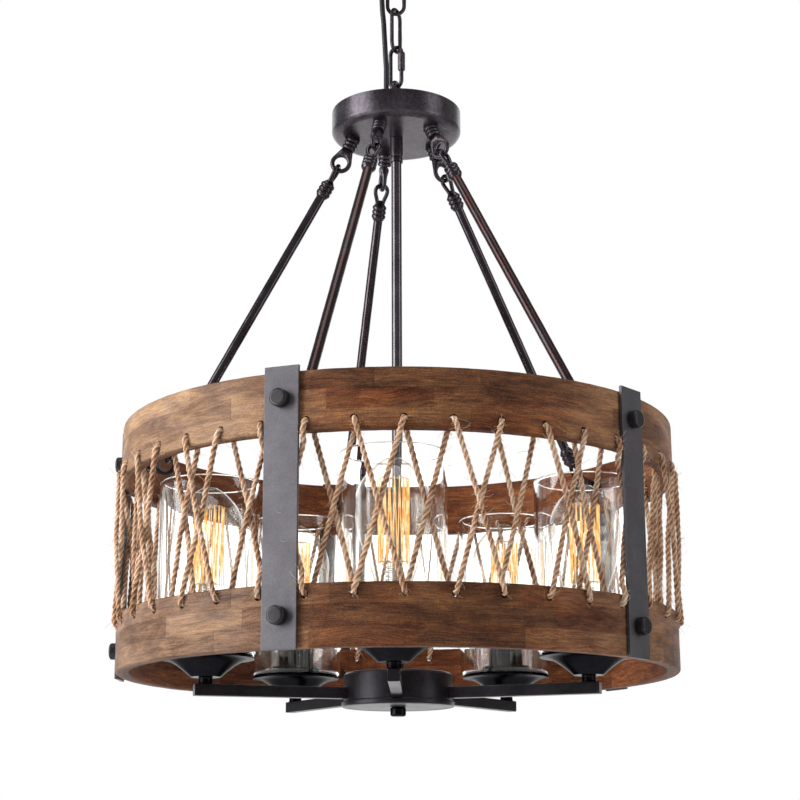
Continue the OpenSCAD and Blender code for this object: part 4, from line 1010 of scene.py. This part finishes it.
def straps_and_bolts():
    bars, bolts, nuts = Form(), Form(), Form()
    half, strap_back = 15, 250.1
    head = [(0, 8), (5.6, 8), (6.6, 7.7), (7.3, 7.0), (7.5, 6.3), (7.5, 0.6), (7.2, 0), (0, 0)]
    for az in STRAPS:
        bars.block((-half, 0.05 - STRAP_FRONT, DRUM_BOTTOM - 1),
                   (half, -strap_back, UPPER_BOTTOM + RING_H + 4), 0.55, spin(az))
        for z, back in ((BOLT_UP, 231.0), (BOLT_LOW, 232.0)):
            place = seat(az, STRAP_FRONT, z) @ spin(90, "X")
            end = back - STRAP_FRONT
            bolts.turned(eased(head, 0.35, 2), 48, place)
            bolts.turned([(0, 0.5), (3, 0.5), (3, end), (0, end)], 24, place)
        nut = [(3.1, 0), (4.9, 0), (5.7, 0.7), (5.7, 4.3), (4.9, 5), (3.1, 5)]
        nuts.turned(nut, 48, seat(az, INNER_R - 5.8, BOLT_LOW) @ spin(90, "X"), six_sided(5, 0.125))
    made(bars, "strap_bars", STRAP_IRON, "drum", "straps", "strap_iron")
    made(bolts, "strap_bolt_set", BOLT_IRON, "drum", "strap_bolts", "bolt_iron")
    made(nuts, "strap_nut_set", BOLT_IRON, "drum", "bolt_nuts", "bolt_iron")


# Lacing, by the same rule as in the CAD

STEP, HOLE_AZ = 9.0, STRAPS[0] - 4.5
HOLE_UP, HOLE_LOW = UPPER_BOTTOM + 9.0, DRUM_BOTTOM + RING_H - 9.0
BAND_LOW = DRUM_BOTTOM + RING_H
BAND_MID = BAND_LOW + BAND_H / 2
OUT_R, WALL_R, IN_R, CROSS = DRUM_R + 2.3, (DRUM_R + INNER_R) / 2, INNER_R - 2.3, 2.2
IN_UP, IN_LOW = HOLE_UP - 0.7, HOLE_LOW + 0.7
HIGH, LOW = UPPER_BOTTOM - 0.5, BAND_LOW + 0.5
HAIRS = 3200


def plain_pass(az, side, face, lift):
    """Points of one slant of rope from an upper hole to the next lower one."""
    def on(z):
        return az + side * STEP * (HOLE_UP - z) / (HOLE_UP - HOLE_LOW)
    out = 1 if face > DRUM_R else -1
    mid = face * cos(radians(STEP * 0.42)) + lift * CROSS
    quarter = (face + mid) / 2
    up, down = (HIGH + BAND_MID) / 2, (LOW + BAND_MID) / 2
    slant = [(face, IN_UP - 2.0), (face, HIGH), (quarter, up), (mid, BAND_MID), (quarter, down),
             (face, LOW), (face, IN_LOW + 2.0)]
    return ([spot(az, WALL_R, IN_UP), spot(az, face - out * 1.6, IN_UP - 0.1)]
            + [spot(on(z), radius, z) for radius, z in slant]
            + [spot(az + side * STEP, face - out * 1.6, IN_LOW + 0.1)])


def strap_pass(az, side, lift):
    """Points of one slant of rope that goes behind a strap."""
    centre = az + side * STEP / 2
    clear, turn, tuck = 17.6, 9.0, 19.0
    behind = DRUM_R + 0.1 - 0.3 - 2.0 - CROSS
    wide = side * degrees(asin((clear + 0.6) / DRUM_R))
    mid = side * degrees(asin(clear / DRUM_R))
    near = side * degrees(asin(clear * (BAND_H / 2 - tuck) / (BAND_H / 2 - turn) / DRUM_R))
    around = [(-wide * 1.04, OUT_R, HOLE_UP - 4.0), (-wide, OUT_R, HIGH),
              (-mid, DRUM_R - 0.8, HIGH - turn + 0.5), (-near, behind + CROSS, HIGH - tuck + 0.5),
              (0, behind + lift * CROSS, BAND_MID), (near, behind + CROSS, LOW + tuck - 0.5),
              (mid, DRUM_R - 0.8, LOW + turn - 0.5), (wide, OUT_R, LOW),
              (wide * 1.04, OUT_R, HOLE_LOW + 4.0)]
    return ([spot(az, WALL_R, IN_UP), spot(az, OUT_R - 1.6, IN_UP - 0.1)]
            + [spot(centre + off, radius, z) for off, radius, z in around]
            + [spot(az + side * STEP, OUT_R - 1.6, IN_LOW + 0.1)])


def turned_back(points):
    """The same slant run upwards, from the middle of the wall at its lower hole."""
    last = points[-1]
    az = degrees(atan2(last.x, -last.y))
    return [spot(az, WALL_R, last.z + (-0.1 if last.z < BAND_MID else 0.1))] + points[:0:-1]


def lacing():
    lobes, groove_shades, points = [], [], 15
    for k in range(points):
        a = 2 * pi * k / points
        dip = (0.5 - 0.5 * cos(3 * a)) ** 0.8
        r = 2.42 - 0.62 * dip
        lobes.append((r * cos(a), r * sin(a)))
        # The same dip, made darker in the jute finish, gives painted shade in the grooves.
        groove_shades.append(dip)
    for letter in "ab":
        knots = []
        for k in range(0, 40, 2):
            az = HOLE_AZ + k * STEP
            if letter == "a":
                knots += strap_pass(az, 1, 1) if k % 8 == 0 else plain_pass(az, 1, OUT_R, 1)
                knots += turned_back(plain_pass(az + 2 * STEP, -1, IN_R, 1))
            else:
                knots += turned_back(strap_pass(az + STEP, -1, -1) if k % 8 == 0
                                     else plain_pass(az + STEP, -1, OUT_R, -1))
                knots += plain_pass(az + STEP, 1, IN_R, -1)
        line = smooth_line(knots + [knots[0]], 0.95)
        dice = random.Random(9 if letter == "a" else 23)
        sizes = [1.0]
        for _ in line[1:]:
            sizes.append(min(1.07, max(0.92, sizes[-1] + dice.uniform(-0.016, 0.016))))
        form = Form().swept(line, lobes, sizes=sizes, lay=20.0, start=(0, 0, 1), marks=groove_shades)
        busy = [k for k in range(4, len(line) - 5)
                if min(abs(line[k].z - z) for z in (BAND_MID, HOLE_UP - 4.0, HOLE_LOW + 4.0)) < 11.0]
        for _ in range(HAIRS):
            k = dice.choice(busy) if dice.random() < 0.6 else dice.randrange(4, len(line) - 5)
            ahead = (line[k + 1] - line[k]).normalized()
            away = Vector((dice.gauss(0, 1), dice.gauss(0, 1), dice.gauss(0, 1)))
            away = (away - ahead * away.dot(ahead)).normalized()
            root = line[k] + away * 1.6
            slope = (away + ahead * dice.uniform(-1.6, 1.6) + Vector((0, 0, -0.2))).normalized()
            length = dice.uniform(1.5, 5.0) if dice.random() < 0.7 else dice.uniform(5.0, 11.0)
            bend = Vector((dice.uniform(-1, 1), dice.uniform(-1, 1), dice.uniform(-1, 0.4))) * length * 0.18
            path = [root, root + slope * length * 0.5 + bend, root + slope * length]
            # Each hair carries a little of that painted groove shade.
            form.swept(path, circle(0.15, 3), sizes=[1.0, 0.8, 0.5], marks=[0.1] * 3)
        made(form, f"laced_rope_{letter}", JUTE, "drum", f"rope_{letter}", "rope", 80)


wood_ring("upper_wood", "upper_ring", UPPER_WOOD, UPPER_BOTTOM, HOLE_UP)
wood_ring("lower_wood", "lower_ring", LOWER_WOOD, DRUM_BOTTOM, HOLE_LOW)
straps_and_bolts()
lacing()


# CAD pieces that stay, with their finishes

KEPT = {"inner_leads": LEAD_SHEATH, "wire_connectors": ORANGE_PLASTIC, "socket_contacts": BRASS}
for name in ("crossbar", "ceiling_nipple", "hub_nipple", "hook_nuts", "pipe_coupling"):
    KEPT[name] = ZINC
for name, finish in KEPT.items():
    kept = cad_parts[name]
    kept.data.materials.clear()
    kept.data.materials.append(finish)


# Light, floor and background

def studio():
    f = Finish("white studio", world=True)
    soft, white = (f.field("Background", None, {"Color": (1.0, 1.0, 1.0), "Strength": strength})
                   for strength in (0.30, 1.0))
    bpy.context.scene.world = f.done(f.blended(f.seen_white(), soft, white), "OutputWorld")

    def softbox(name, place, size, power, aim=(0.0, 0.0, -0.5)):
        lamp = bpy.data.lights.new(name, "AREA")
        lamp.shape, lamp.size, lamp.size_y, lamp.energy = "RECTANGLE", size[0], size[1], power
        box = bpy.data.objects.new(name, lamp)
        bpy.context.scene.collection.objects.link(box)
        place = Vector(place)
        facing = (place - Vector(aim)).to_track_quat("Z", "Y").to_matrix().to_4x4()
        box.matrix_world = Matrix.Translation(place) @ facing

    softbox("key_softbox", (-2.0, -0.85, -0.3), (1.4, 2.4), 66.0)
    softbox("fill_softbox", (2.0, -0.85, -0.3), (0.7, 2.2), 13.0)
    softbox("top_softbox", (0.0, -0.6, 1.9), (1.6, 1.6), 22.0)
    softbox("backdrop_softbox", (0.0, 3.2, -0.1), (6.0, 3.4), 72.0, (0.0, 0.0, -0.1))

    floor_z, half = -1900, 9000
    corners = [(x * half, y * half, floor_z) for x, y in ((-1, -1), (1, -1), (1, 1), (-1, 1))]
    f = Finish("pale floor")
    tone = f.mixed(f.noise(8.0, 3.0), (0.86, 0.86, 0.86), (0.90, 0.90, 0.90))
    ground = f.surface(base_color=tone, roughness=0.7)
    shine = f.field("Emission", None, {"Color": (1.0, 1.0, 1.0), "Strength": 1.0})
    paint = f.done(f.blended(f.seen_white() * 0.8, ground, shine))
    made(Form().add(corners, [(0, 1, 2, 3)]), "studio_floor", paint, None)


studio()
